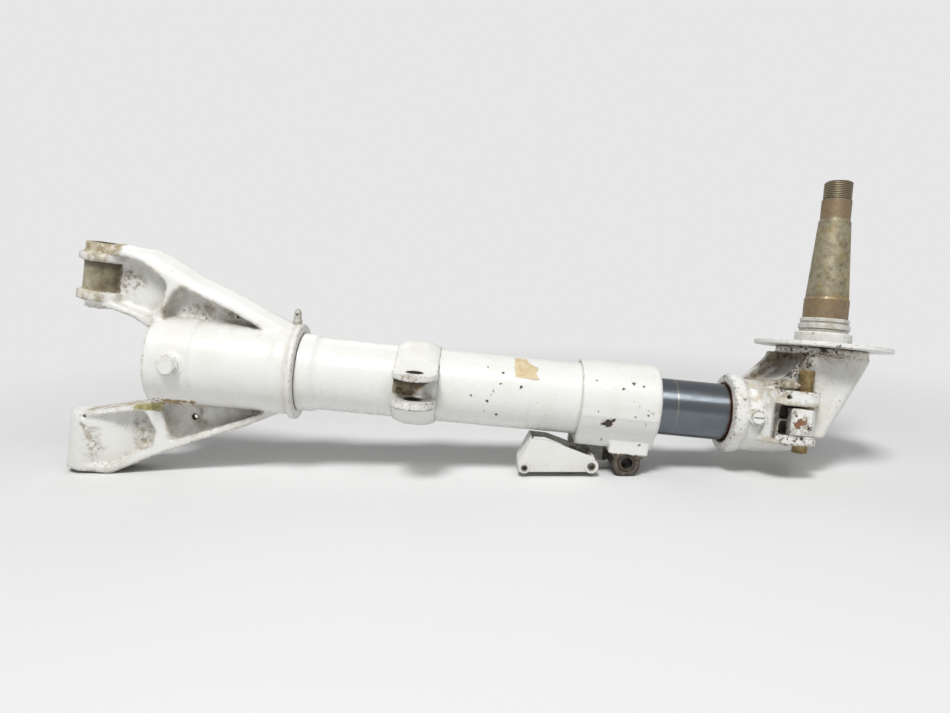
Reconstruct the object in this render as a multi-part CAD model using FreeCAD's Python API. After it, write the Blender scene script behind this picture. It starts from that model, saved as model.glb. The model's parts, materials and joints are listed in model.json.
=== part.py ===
import FreeCAD, Part
import math
import os
from FreeCAD import Vector, Rotation, Placement

# Main landing gear shock strut lying on its side, axle up.
# Built in the strut's own frame: X along the strut from the pivot axis towards the wheel,
# Z square to the strut, Y across it.  The finished part is then tipped onto the ground plane.

# ---------------------------------------------------------------- driving dimensions (mm)
RUN_GAP = 0.05          # radial clearance of every running fit
SEAT_GAP = 0.03         # radial clearance of every fixed, located fit
PIVOT_CANT = 3.4        # degrees, pivot axis out of square with the strut
AXLE_LEAN = 7.5         # degrees, piston turned in the barrel so that the axle leans away
BARREL_R = 32.5
BARREL_BORE_R = 28.0
GLAND_BORE_R = 29.0
BARREL_START = 62.0
BARREL_END = 501.0
PISTON_R = 25.4
PISTON_BORE_R = 21.9
PISTON_START = 284.0
PISTON_END = 600.0
BUSH_WALL = 3.0
PIVOT_BORE_R = 8.0
ARM_HALF = 16.5         # half thickness of both arms across the strut
WEB_HALF = 3.0          # half thickness of the webs in the arms
BOSS_R = 15.8
BOSS_FLANGE_R = 20.3
LUG_X = 480.5           # torque link lug bore
LUG_Z = -49.6
LUG_R = 12.0
LUG_HALF = 24.0
LUG_BORE_R = 5.0
FOOT_X = 22.9           # corner of the lower arm that meets the ground
FOOT_Z = -106.5
BRACE_X = 288.8         # brace clevis bore
BRACE_Y = -47.8
BRACE_BORE_R = 5.2
BRACE_EAR_R = 19.2
COLLAR_START = 433.0    # torque link collar
COLLAR_END = 503.1
COLLAR_R = 36.3
AXLE_X = 651.0          # axle centre line along the strut
SEAT_IN_R = 19.05       # inner wheel bearing seat
SEAT_OUT_R = 12.7       # outer wheel bearing seat
RING_SEAT_R = 18.5      # seat of the rings below the inner bearing
THREAD_R = 11.6
DISC_R = 58.0           # brake flange
DISC_LOW = 66.0
DISC_HIGH = 70.0
PAD_R = 39.0
PAD_LOW = 59.0
TORQUE_PIN_X = 624.0
TORQUE_PIN_Y = -35.0
TORQUE_PIN_R = 6.35
TORQUE_EAR_R = 12.0

BARREL_FIT_R = BARREL_R + SEAT_GAP
PISTON_FIT_R = PISTON_R + RUN_GAP


# ---------------------------------------------------------------- helpers
def cyl(radius, length, base, axis):
    return Part.makeCylinder(radius, length, Vector(*base), Vector(*axis))


def ring(outer, inner, length, base, axis):
    return cyl(outer, length, base, axis).cut(cyl(inner, length, base, axis))


def box(x0, x1, y0, y1, z0, z1):
    return Part.makeBox(x1 - x0, y1 - y0, z1 - z0, Vector(x0, y0, z0))


def fuse(first, *others):
    return first.multiFuse(list(others)).removeSplitter()


def turned_x(profile):
    """Solid of revolution about the strut axis from (x, radius) points."""
    points = [Vector(x, 0, r) for x, r in profile]
    face = Part.Face(Part.makePolygon(points + [points[0]]))
    return face.revolve(Vector(0, 0, 0), Vector(1, 0, 0), 360)


def turned_z(profile, x, y=0.0):
    """Solid of revolution about a line along Z through (x, y) from (z, radius) points."""
    points = [Vector(x + r, y, z) for z, r in profile]
    face = Part.Face(Part.makePolygon(points + [points[0]]))
    return face.revolve(Vector(x, y, 0), Vector(0, 0, 1), 360)


def prism(outline, y0, y1):
    """(x, z) outline pulled across the strut from y0 to y1."""
    points = [Vector(x, y0, z) for x, z in outline]
    face = Part.Face(Part.makePolygon(points + [points[0]]))
    return face.extrude(Vector(0, y1 - y0, 0))


def prism_z(outline, z0, z1):
    """(x, y) outline pulled upwards from z0 to z1."""
    points = [Vector(x, y, z0) for x, y in outline]
    face = Part.Face(Part.makePolygon(points + [points[0]]))
    return face.extrude(Vector(0, 0, z1 - z0))


def prism_x(outline, x0, x1):
    """(y, z) outline pulled along the strut from x0 to x1."""
    points = [Vector(x0, y, z) for y, z in outline]
    face = Part.Face(Part.makePolygon(points + [points[0]]))
    return face.extrude(Vector(x1 - x0, 0, 0))


def edges_along(shape, direction):
    found = []
    for edge in shape.Edges:
        run = edge.Vertexes[-1].Point - edge.Vertexes[0].Point
        if run.Length > 1e-6 and abs(abs(run.normalize().dot(Vector(*direction))) - 1) < 1e-6:
            found.append(edge)
    return found


def pocket(outline, side, corner, floor):
    """Pocket with rounded corners and floor, sunk from one side down to the web."""
    deep = prism(outline, side * WEB_HALF, side * (ARM_HALF + 6))
    deep = deep.makeFillet(corner, edges_along(deep, (0, 1, 0)))
    rim = [e for e in deep.Edges if e.BoundBox.YLength < 1e-6 and abs(abs(e.BoundBox.YMin) - WEB_HALF) < 1e-6]
    return deep.makeFillet(floor, rim)


def sections(outlines):
    """Ruled body through (x, z) outlines, each given with its Y."""
    wires = []
    for y, outline in outlines:
        points = [Vector(x, y, z) for x, z in outline]
        wires.append(Part.makePolygon(points + [points[0]]))
    return Part.makeLoft(wires, True, True)


def on_pivot(distance):
    """Point on the canted pivot axis."""
    cant = math.radians(PIVOT_CANT)
    return (distance * math.sin(cant), 0, distance * math.cos(cant))


PIVOT_AXIS = on_pivot(1.0)


def hexagon(across_flats, length, base, axis):
    """Hexagonal bar from base along axis."""
    radius = across_flats / math.sqrt(3)
    points = [Vector(radius * math.cos(a), radius * math.sin(a), 0)
              for a in [math.radians(60 * i) for i in range(6)]]
    bar = Part.Face(Part.makePolygon(points + [points[0]])).extrude(Vector(0, 0, length))
    bar.Placement = Placement(Vector(*base), Rotation(Vector(0, 0, 1), Vector(*axis)))
    return bar


nodes = {}

# ---------------------------------------------------------------- trunnion casting
RIM_X = 56.7
BAND_END = 95.4
RING_X0 = 178.1
RING_X1 = 184.5

UPPER_SIL = [(12, 98.3), (27.7, 98.1), (41.1, 96.1), (51.7, 96.2), (64, 91.4), (93.3, 75.9),
             (121.9, 65.7), (179, 40.5), (179, 22), (60, 22), (50.3, 29.5), (38.5, 36.2),
             (19.8, 41.5), (8, 43.5)]
UPPER_RIDGE = [(12, 94.5), (30, 93.2), (39, 90.3), (44.5, 87.0), (61, 76.8), (84, 66.8),
               (124, 52.6), (178, 24.5), (178, 22), (60, 22), (50.3, 29.5), (38.5, 36.2),
               (19.8, 41.5), (8, 43.5)]
LOWER_ARM = [(-5.5, -106.5), (FOOT_X, FOOT_Z), (62.3, -85.7), (99.9, -68.3), (140.3, -51.5),
             (179, -32.2), (179, -22), (60, -22), (57, -38.4), (47.5, -40.6), (-5.5, -53.9)]
UPPER_POCKET_1 = [(27, 88.4), (43.6, 85.2), (63.2, 72.5), (66.8, 66.2), (60.2, 42.8), (48.9, 38.8),
                  (20.3, 47.4), (4, 52), (4, 88.6)]
UPPER_POCKET_2 = [(64.6, 40.2), (71.2, 60.4), (78.8, 67.2), (124, 49.5), (172.6, 25.8), (172, 12), (66, 12)]
LOWER_POCKET_1 = [(-6, -57.6), (51, -45.4), (61.8, -63.8), (58, -78.2), (22.3, -99.2), (-6, -101)]
LOWER_POCKET_2 = [(66.3, -44.8), (70, -20), (174, -20), (173.5, -29.2), (140.3, -44.6), (75.6, -71.6)]


def between(a, b, share):
    return [(p[0] + share * (q[0] - p[0]), p[1] + share * (q[1] - p[1])) for p, q in zip(a, b)]


def make_casting():
    mid = between(UPPER_RIDGE, UPPER_SIL, 0.62)
    upper = sections([(-ARM_HALF, UPPER_RIDGE), (-12.5, mid), (-5, UPPER_SIL),
                      (5, UPPER_SIL), (12.5, mid), (ARM_HALF, UPPER_RIDGE)])
    lower = prism(LOWER_ARM, -ARM_HALF, ARM_HALF)
    for side in (-1, 1):
        upper = upper.cut(pocket(UPPER_POCKET_1, side, 7.0, 4.5))
        upper = upper.cut(pocket(UPPER_POCKET_2, side, 4.5, 4.0))
        lower = lower.cut(pocket(LOWER_POCKET_1, side, 7.0, 5.0))
        lower = lower.cut(pocket(LOWER_POCKET_2, side, 4.0, 3.9))
    fairing = prism_z([(-8, 15.85), (0, 15.85), (50, 1.6), (50, -1.6), (0, -15.85), (-8, -15.85)], -107, -50)
    inside = prism([(-8, -107), (FOOT_X - 0.5, FOOT_Z + 0.5), (60, -86), (60, -43), (-4, -55)], -17, 17)
    fairing = fairing.common(inside)
    boss_up = cyl(BOSS_R, 52, on_pivot(46), PIVOT_AXIS)
    boss_low = cyl(ARM_HALF, 53.4, on_pivot(-106.8), PIVOT_AXIS)
    top_rim = [e for e in boss_low.Edges if e.CenterOfMass.distanceToPoint(Vector(*on_pivot(-53.4))) < 0.5]
    boss_low = boss_low.makeFillet(3.2, top_rim)
    cap = cyl(13.0, 8, on_pivot(40.5), PIVOT_AXIS)
    flanges = [cyl(BOSS_FLANGE_R, 6.9, on_pivot(82.1), PIVOT_AXIS),
               cyl(BOSS_FLANGE_R, 7.9, on_pivot(47.8), PIVOT_AXIS)]
    body = turned_x([(RIM_X, 0), (RIM_X, 40.2), (RIM_X + 0.8, 41.0), (61.2, 41.0), (62.0, 40.0),
                     (BAND_END - 1.5, 40.0), (BAND_END, 38.5), (163.6, 38.5), (165.2, 39.3),
                     (RING_X0 - 2.5, 39.3), (RING_X0, 41.0), (RING_X0 + 0.8, 43.0),
                     (RING_X1 - 0.8, 43.0), (RING_X1, 42.2), (RING_X1, 0)])
    bolt_boss = cyl(9.6, 42.5, (80.9, -41.6, 1.8), (0, 1, 0))
    nut_boss = cyl(9.6, 42.5, (80.9, -0.9, 1.8), (0, 1, 0))
    nipple_boss = cyl(4.6, 10, (177.6, 0, 33.0), (0, 0, 1))
    whole = fuse(upper, lower, fairing, boss_up, boss_low, cap, body, bolt_boss, nut_boss, nipple_boss,
                 *flanges)
    whole = whole.cut(cyl(BARREL_FIT_R, 200, (20, 0, 0), (1, 0, 0)))
    bush_hole = PIVOT_BORE_R + BUSH_WALL + SEAT_GAP
    whole = whole.cut(cyl(bush_hole, 70, on_pivot(35), PIVOT_AXIS))
    whole = whole.cut(cyl(bush_hole, 48, on_pivot(-110), PIVOT_AXIS))
    whole = whole.cut(cyl(4.8, 100, (80.9, -50, 1.8), (0, 1, 0)))
    whole = whole.cut(cyl(2.2, 20, (91.3, -10, -50.5), (0, 1, 0)))
    whole = whole.cut(cyl(1.7, 7, (-2.2, -18, -56.2), (0, 1, 0)))
    whole = whole.cut(cyl(2.3 + SEAT_GAP, 12, (177.6, 0, 32.0), (0, 0, 1)))
    return whole


nodes["trunnion_casting"] = make_casting()


def bush_pair(outer, inner, spans):
    group = [ring(outer, inner, b - a, on_pivot(a), PIVOT_AXIS) for a, b in spans]
    return Part.makeCompound(group)


nodes["upper_arm_bushes"] = bush_pair(PIVOT_BORE_R + BUSH_WALL, PIVOT_BORE_R, [(41, 98)])
nodes["lower_arm_bushes"] = bush_pair(PIVOT_BORE_R + BUSH_WALL, PIVOT_BORE_R, [(-106.6, -62.2)])

# through bolt that holds the casting to the barrel
BOLT_R = 4.75
BOLT_AF = 12.7
WASHER_R = 8.2
BOLT_Y0 = -41.6
BOLT_Y1 = 41.6


def make_barrel_bolt():
    head = hexagon(BOLT_AF, 5.4, (80.9, BOLT_Y0 - 1.6, 1.8), (0, -1, 0))
    crown = cyl(BOLT_AF / 2 - 0.3, 0.6, (80.9, BOLT_Y0 - 7.0, 1.8), (0, -1, 0))
    shank = cyl(BOLT_R, BOLT_Y1 - BOLT_Y0 + 12.6, (80.9, BOLT_Y0 - 1.6, 1.8), (0, 1, 0))
    return fuse(head, crown, shank)


nodes["barrel_bolt"] = make_barrel_bolt()
nodes["barrel_bolt_washers"] = Part.makeCompound([
    ring(WASHER_R, BOLT_R + SEAT_GAP, 1.6, (80.9, BOLT_Y0 - 1.6, 1.8), (0, 1, 0)),
    ring(WASHER_R, BOLT_R + SEAT_GAP, 1.6, (80.9, BOLT_Y1, 1.8), (0, 1, 0))])
nodes["barrel_bolt_nut"] = hexagon(BOLT_AF, 7.4, (80.9, BOLT_Y1 + 1.6, 1.8), (0, 1, 0)).cut(
    cyl(BOLT_R + SEAT_GAP, 20, (80.9, BOLT_Y1, 1.8), (0, 1, 0)))

# grease fitting on top of the ring
nodes["grease_fitting"] = turned_z([(33.0, 0), (33.0, 2.3), (43.0, 2.3), (43.0, 4.2), (46.0, 4.2), (46.6, 3.5),
                                    (53.0, 3.1), (55.2, 2.3), (56.2, 1.0), (56.2, 0)], 177.6).cut(
    cyl(1.2, 3.4, (177.6, -3.8, 51.3), (0, 1, 0)))

# ---------------------------------------------------------------- barrel
SHOULDER_X = 185.0


def make_barrel():
    outer = turned_x([(BARREL_START, 0), (BARREL_START, BARREL_R), (184.6, BARREL_R), (SHOULDER_X, 34.8),
                      (195.6, 34.8), (197.6, 34.4), (200.6, 33.1), (203.2, BARREL_R), (387, BARREL_R),
                      (388, BARREL_R - 0.35), (COLLAR_START - 4, BARREL_R - 0.35),
                      (COLLAR_START - 3, BARREL_R), (BARREL_END, BARREL_R), (BARREL_END, 0)])
    bore = turned_x([(BARREL_START - 1, 0), (BARREL_START - 1, BARREL_BORE_R), (432, BARREL_BORE_R),
                     (433, GLAND_BORE_R), (BARREL_END + 1, GLAND_BORE_R), (BARREL_END + 1, 0)])
    tube = outer.cut(bore)
    tube = tube.cut(ring(GLAND_BORE_R + 1.6, GLAND_BORE_R - 1, 2.1, (491.95, 0, 0), (1, 0, 0)))
    return tube.cut(cyl(BOLT_R + SEAT_GAP, 100, (80.9, -50, 1.8), (0, 1, 0)))


nodes["barrel_tube"] = make_barrel()

# upper end plug, its seal and the filler valve
PLUG_R = BARREL_BORE_R - SEAT_GAP
VALVE_Z = 12.5


def make_end_plug():
    plug = cyl(PLUG_R, 28, (66, 0, 0), (1, 0, 0))
    plug = plug.cut(ring(PLUG_R + 1, PLUG_R - 2.4, 3.2, (87.9, 0, 0), (1, 0, 0)))
    plug = plug.cut(cyl(PLUG_R - 6, 9.8, (65.5, 0, 0), (1, 0, 0)))
    plug = plug.cut(cyl(BOLT_R + SEAT_GAP, 100, (80.9, -50, 1.8), (0, 1, 0)))
    plug = plug.cut(cyl(6 + SEAT_GAP, 7.5, (87, 0, 0), (1, 0, 0)))
    plug = plug.cut(cyl(3.5 + SEAT_GAP, 40, (60, 0, VALVE_Z), (1, 0, 0)))
    return plug


nodes["barrel_end_plug"] = make_end_plug()
nodes["end_plug_seal"] = ring(BARREL_BORE_R - 0.01, PLUG_R - 2.38, 3.0, (88, 0, 0), (1, 0, 0))


def make_valve_body():
    stem = cyl(3.5, 20, (72, 0, VALVE_Z), (1, 0, 0))
    base = hexagon(12.7, 3.4, (75.3, 0, VALVE_Z), (-1, 0, 0))
    neck = cyl(4.4, 7, (72, 0, VALVE_Z), (-1, 0, 0))
    tip = cyl(3.6, 6.5, (65.2, 0, VALVE_Z), (-1, 0, 0))
    return fuse(stem, base, neck, tip)


nodes["filler_valve_body"] = make_valve_body()
nodes["filler_valve_nut"] = hexagon(12.7, 4.8, (71.4, 0, VALVE_Z), (-1, 0, 0)).cut(
    cyl(4.4 + RUN_GAP, 20, (60, 0, VALVE_Z), (1, 0, 0)))
nodes["filler_valve_cap"] = turned_x([(57.2, 0), (57.2, 4.6), (57.9, 5.3), (65.0, 5.3), (65.0, 3.6 + SEAT_GAP),
                                      (58.7, 3.6 + SEAT_GAP), (58.7, 0)])
nodes["filler_valve_cap"].translate(Vector(0, 0, VALVE_Z))

# orifice tube and plate down the middle of the barrel
nodes["orifice_tube"] = turned_x([(87, 0), (87, 6), (94, 6), (94, 9), (330, 9), (330, 6.5), (98, 6.5), (98, 0)])
nodes["orifice_plate"] = turned_x([(330, 5), (330, 12.5), (331, 13.5), (336, 13.5), (337, 12.5), (337, 5)])

# ---------------------------------------------------------------- brace collar with its clevis
BRACE_X0 = 269.6
BRACE_X1 = 308.0
SLOT_TOP = 12.2
SLOT_LOW = -5.2
EAR_TOP_Z = 17.7
EAR_LOW_Z = -11.8
EAR_FRONT_Y = BRACE_Y - BRACE_EAR_R


def clevis_ear(z0, z1, front, back):
    """One ear, z0 at the slot, its outer face sloping from front to back heights."""
    slab = fuse(cyl(BRACE_EAR_R, z1 - z0, (BRACE_X, BRACE_Y, z0), (0, 0, 1)),
                box(BRACE_X0, BRACE_X1, BRACE_Y, -8, z0, z1))
    inner = z0 if abs(z0) < abs(z1) else z1
    outline = [(EAR_FRONT_Y - 1, inner), (EAR_FRONT_Y - 1, front), (-39.5, front), (back[0], back[1]),
               (-8, back[1]), (-8, inner)]
    return slab.common(prism_x(outline, BRACE_X0 - 1, BRACE_X1 + 1))


def make_brace_collar():
    band = turned_x([(BRACE_X0, 0), (BRACE_X0, 33.9), (274.5, 36.2), (281, 37.8), (297, 37.8), (303, 36.2),
                     (BRACE_X1, 33.9), (BRACE_X1, 0)])
    upper = clevis_ear(SLOT_TOP, 38, EAR_TOP_Z, (-28.5, 24.6))
    lower = clevis_ear(-38, SLOT_LOW, EAR_LOW_Z, (-31.5, -20.5))
    whole = fuse(band, upper, lower)
    whole = whole.cut(cyl(BARREL_FIT_R, 80, (250, 0, 0), (1, 0, 0)))
    return whole.cut(cyl(BRACE_BORE_R + 2 + SEAT_GAP, 80, (BRACE_X, BRACE_Y, -40), (0, 0, 1)))


nodes["brace_collar"] = make_brace_collar()
nodes["brace_ear_bushes"] = Part.makeCompound([
    ring(BRACE_BORE_R + 2, BRACE_BORE_R, EAR_TOP_Z - SLOT_TOP, (BRACE_X, BRACE_Y, SLOT_TOP), (0, 0, 1)),
    ring(BRACE_BORE_R + 2, BRACE_BORE_R, SLOT_LOW - EAR_LOW_Z, (BRACE_X, BRACE_Y, EAR_LOW_Z), (0, 0, 1))])
nodes["brace_collar_pins"] = Part.makeCompound([
    cyl(2.5, 6.0, (BRACE_X, 32.0, 0), (0, 1, 0)).cut(cyl(BARREL_FIT_R, 80, (250, 0, 0), (1, 0, 0)))])
nodes["brace_collar"] = nodes["brace_collar"].cut(cyl(2.5 + SEAT_GAP, 8.0, (BRACE_X, 31.0, 0), (0, 1, 0)))

# ---------------------------------------------------------------- torque link collar
def make_torque_collar():
    sleeve = turned_x([(COLLAR_START, 0), (COLLAR_START, 35.3), (COLLAR_START + 1, COLLAR_R),
                       (COLLAR_END - 3.2, COLLAR_R), (COLLAR_END - 1.2, 35.6), (COLLAR_END, 33.6),
                       (COLLAR_END, 0)])
    saddle = prism_x([(-36.3, -1.5), (-36.1, -7.5), (-21, -37), (21, -37), (36.1, -7.5), (36.3, -1.5)],
                     COLLAR_START + 0.4, COLLAR_END - 1.6)
    block = prism([(463, -30), (462.8, -41), (468.5, -45), (492.5, -45), (498, -41.3), (498, -30)],
                  -25.0, 25.0)
    cheek = prism([(LUG_X - LUG_R, -38), (LUG_X - LUG_R, LUG_Z - 4.5), (LUG_X - 7.4, LUG_Z - LUG_R + 0.9),
                   (LUG_X + 7.4, LUG_Z - LUG_R + 0.9), (LUG_X + LUG_R, LUG_Z - 4.5), (LUG_X + LUG_R, -38)],
                  -LUG_HALF, LUG_HALF)
    eye = cyl(LUG_R, 2 * LUG_HALF, (LUG_X, -LUG_HALF, LUG_Z), (0, 1, 0))
    tab = prism([(431, -34), (468, -34), (468, -57), (440, -57), (431, -53)], 5, 12)
    whole = fuse(sleeve, saddle, block, cheek, eye, tab)
    whole = whole.cut(cyl(BARREL_FIT_R, 90, (425, 0, 0), (1, 0, 0)))
    whole = whole.cut(cyl(7.3 + SEAT_GAP, 60, (LUG_X, -30, LUG_Z), (0, 1, 0)))
    whole = whole.cut(cyl(2.0, 20, (438.6, 0, -42.6), (0, 1, 0)))
    for x, z in BRACKET_BOLTS:
        whole = whole.cut(cyl(2.5, 20, (x, 0, z), (0, 1, 0)))
    for x in (449.0, 488.0):
        whole = whole.cut(cyl(3.0 + SEAT_GAP, 12, (x, 30, 0), (0, 1, 0)))
    return whole


BRACKET_BOLTS = [(435.4, -49.5), (445.2, -50.5)]
nodes["torque_collar"] = make_torque_collar()
nodes["torque_lug_sleeve"] = ring(7.3, LUG_BORE_R, 2 * LUG_HALF + 0.8, (LUG_X, -LUG_HALF - 0.4, LUG_Z), (0, 1, 0))
nodes["torque_collar_pins"] = Part.makeCompound([
    cyl(3.0, 4.2, (x, BARREL_R + 0.3, 0), (0, 1, 0)) for x in (449.0, 488.0)])

# ---------------------------------------------------------------- door bracket
BRACKET = [(394.3, -35.2), (409.8, -35.5), (424.5, -39.5), (443.7, -44.9), (451.0, -46.0), (455.2, -54.8),
           (454.4, -59.5), (385.7, -66.3), (384.8, -57.2)]
SMALL_EYE = (390.7, -62.0, 5.0, 1.85)
LARGE_EYE = (449.4, -54.9, 6.3, 2.45)


def make_bracket():
    full = prism(BRACKET, -26, 4.95)
    hollow = [(x, z) for x, z in [(396.4, -32), (424.5, -34), (446, -40), (449.5, -48.4), (451.6, -54.6),
                                  (451.4, -56.4), (388.7, -62.7), (388.2, -57.6)]]
    shell = full.cut(prism(hollow, -23.2, 2.2))
    window = prism([(399, -40), (409, -39.5), (424, -44), (430, -47), (430, -58.5), (396, -60)], 0, 6)
    shell = shell.cut(window)
    for x, z, outer, hole in (SMALL_EYE, LARGE_EYE):
        shell = fuse(shell, cyl(outer, 3.6, (x, -26.6, z), (0, 1, 0)))
        shell = shell.cut(cyl(hole + 1.0 + SEAT_GAP, 6, (x, -28, z), (0, 1, 0)))
    for x, z in BRACKET_BOLTS:
        shell = shell.cut(cyl(2.5, 8, (x, 0, z), (0, 1, 0)))
    return shell


nodes["door_bracket"] = make_bracket()
nodes["bracket_bushes"] = Part.makeCompound([
    ring(hole + 1.0, hole, 4.4, (x, -27.0, z), (0, 1, 0)) for x, z, outer, hole in (SMALL_EYE, LARGE_EYE)])


def bracket_bolt(x, z):
    return fuse(hexagon(7.9, 2.6, (x, 2.2, z), (0, -1, 0)), cyl(2.42, 14.4, (x, 2.2, z), (0, 1, 0)))


nodes["bracket_bolts"] = Part.makeCompound([bracket_bolt(x, z) for x, z in BRACKET_BOLTS])
nodes["bracket_nuts"] = Part.makeCompound([
    hexagon(7.9, 3.6, (x, 12.0, z), (0, 1, 0)).cut(cyl(2.42 + SEAT_GAP, 8, (x, 11, z), (0, 1, 0)))
    for x, z in BRACKET_BOLTS])

# ---------------------------------------------------------------- lower gland inside the barrel
GLAND_R = GLAND_BORE_R - SEAT_GAP


def make_gland():
    body = ring(GLAND_R, PISTON_FIT_R, 56, (435, 0, 0), (1, 0, 0))
    body = body.cut(cyl(PISTON_FIT_R + 2.0, 8.2, (449.4, 0, 0), (1, 0, 0)))
    return body.cut(ring(GLAND_R + 1, GLAND_R - 1.8, 4.2, (464.9, 0, 0), (1, 0, 0)))


nodes["lower_gland"] = make_gland()
nodes["gland_inner_seal"] = ring(PISTON_FIT_R + 1.98, PISTON_R + 0.02, 3.6, (451.6, 0, 0), (1, 0, 0))
nodes["gland_back_up_rings"] = Part.makeCompound([
    ring(PISTON_FIT_R + 1.95, PISTON_R + 0.04, 1.7, (x, 0, 0), (1, 0, 0)) for x in (449.7, 455.4)])
nodes["gland_outer_seal"] = ring(GLAND_BORE_R - 0.01, GLAND_R - 1.78, 3.8, (465.1, 0, 0), (1, 0, 0))
nodes["gland_retaining_ring"] = ring(GLAND_BORE_R + 1.5, GLAND_BORE_R - 2.2, 1.9, (492.0, 0, 0), (1, 0, 0)).cut(
    box(491, 495, -2.5, 2.5, -35, -20))
nodes["wiper_ring"] = turned_x([(494.2, PISTON_R + 0.04), (494.2, GLAND_BORE_R - 0.02), (502.2, GLAND_BORE_R - 0.02),
                                (502.2, 27.6), (504.0, PISTON_R + 0.4), (504.0, PISTON_R + 0.04)])

# ---------------------------------------------------------------- carrier on the piston head
nodes["upper_bearing"] = ring(BARREL_BORE_R - RUN_GAP, PISTON_FIT_R, 28, (292, 0, 0), (1, 0, 0)).cut(
    ring(BARREL_BORE_R + 1, BARREL_BORE_R - 1.6, 4.2, (303.9, 0, 0), (1, 0, 0)))
nodes["piston_ring"] = ring(BARREL_BORE_R - 0.02, BARREL_BORE_R - 1.55, 4.0, (304, 0, 0), (1, 0, 0)).cut(
    box(303, 309, -0.8, 0.8, 20, 30))

# ---------------------------------------------------------------- piston and what it carries
piston = {}


def make_piston_tube():
    tube = ring(PISTON_R, PISTON_BORE_R, PISTON_END - PISTON_START, (PISTON_START, 0, 0), (1, 0, 0))
    tube = tube.cut(ring(PISTON_R + 1, PISTON_R - 1.0, 1.7, (320.3, 0, 0), (1, 0, 0)))
    return tube.cut(cyl(4.0 + SEAT_GAP, 100, (585.3, -50, 0), (0, 1, 0)))


piston["piston_tube"] = make_piston_tube()
piston["piston_head_nut"] = ring(27.0, PISTON_R + SEAT_GAP, 7.7, (284, 0, 0), (1, 0, 0)).cut(
    box(283, 288, -3, 3, -30, 30))
piston["upper_bearing_circlip"] = ring(27.2, PISTON_R - 0.95, 1.5, (320.4, 0, 0), (1, 0, 0)).cut(
    box(319, 323, -2, 2, -30, -20))
piston["piston_bulkhead"] = cyl(PISTON_BORE_R - SEAT_GAP, 12, (545, 0, 0), (1, 0, 0)).cut(
    ring(PISTON_BORE_R + 1, PISTON_BORE_R - 2.2, 3.2, (549, 0, 0), (1, 0, 0))).cut(
    cyl(2.5 + SEAT_GAP, 7, (544, 0, 0), (1, 0, 0)))
piston["bulkhead_seal"] = ring(PISTON_BORE_R - 0.01, PISTON_BORE_R - 2.17, 3.0, (549.1, 0, 0), (1, 0, 0))
piston["metering_pin"] = turned_x([(212, 0), (216, 2.0), (230, 3.0), (330, 4.2), (440, 3.4), (540, 4.2),
                                   (545, 4.2), (545, 2.5), (550.9, 2.5), (550.9, 0)])

FIT_X0 = 565.8
ELBOW = [(594, -13.5), (594, 30.5), (598.3, 30.8), (609.1, 37.2), (615.3, 44.5), (620.8, 51.6), (624.8, 59.5),
         (681.5, 59.5), (682.3, 53.1), (650.0, -13.5)]
REAR_WALL = [(586, 24), (589.0, 31.0), (607.0, 50.2), (612.0, 56.5), (612.5, 60), (634, 60), (620, 30)]
TROUGH = [(580, 58.9), (580, 33.8), (597, 32.6), (611, 35), (620.5, 42.5), (626.5, 51), (628, 58.9)]
EAR_TOP = 26.5
EAR_SLOT_TOP = 13.2
EAR_SLOT_LOW = -11.5
EAR_LOW = -20.5


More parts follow.
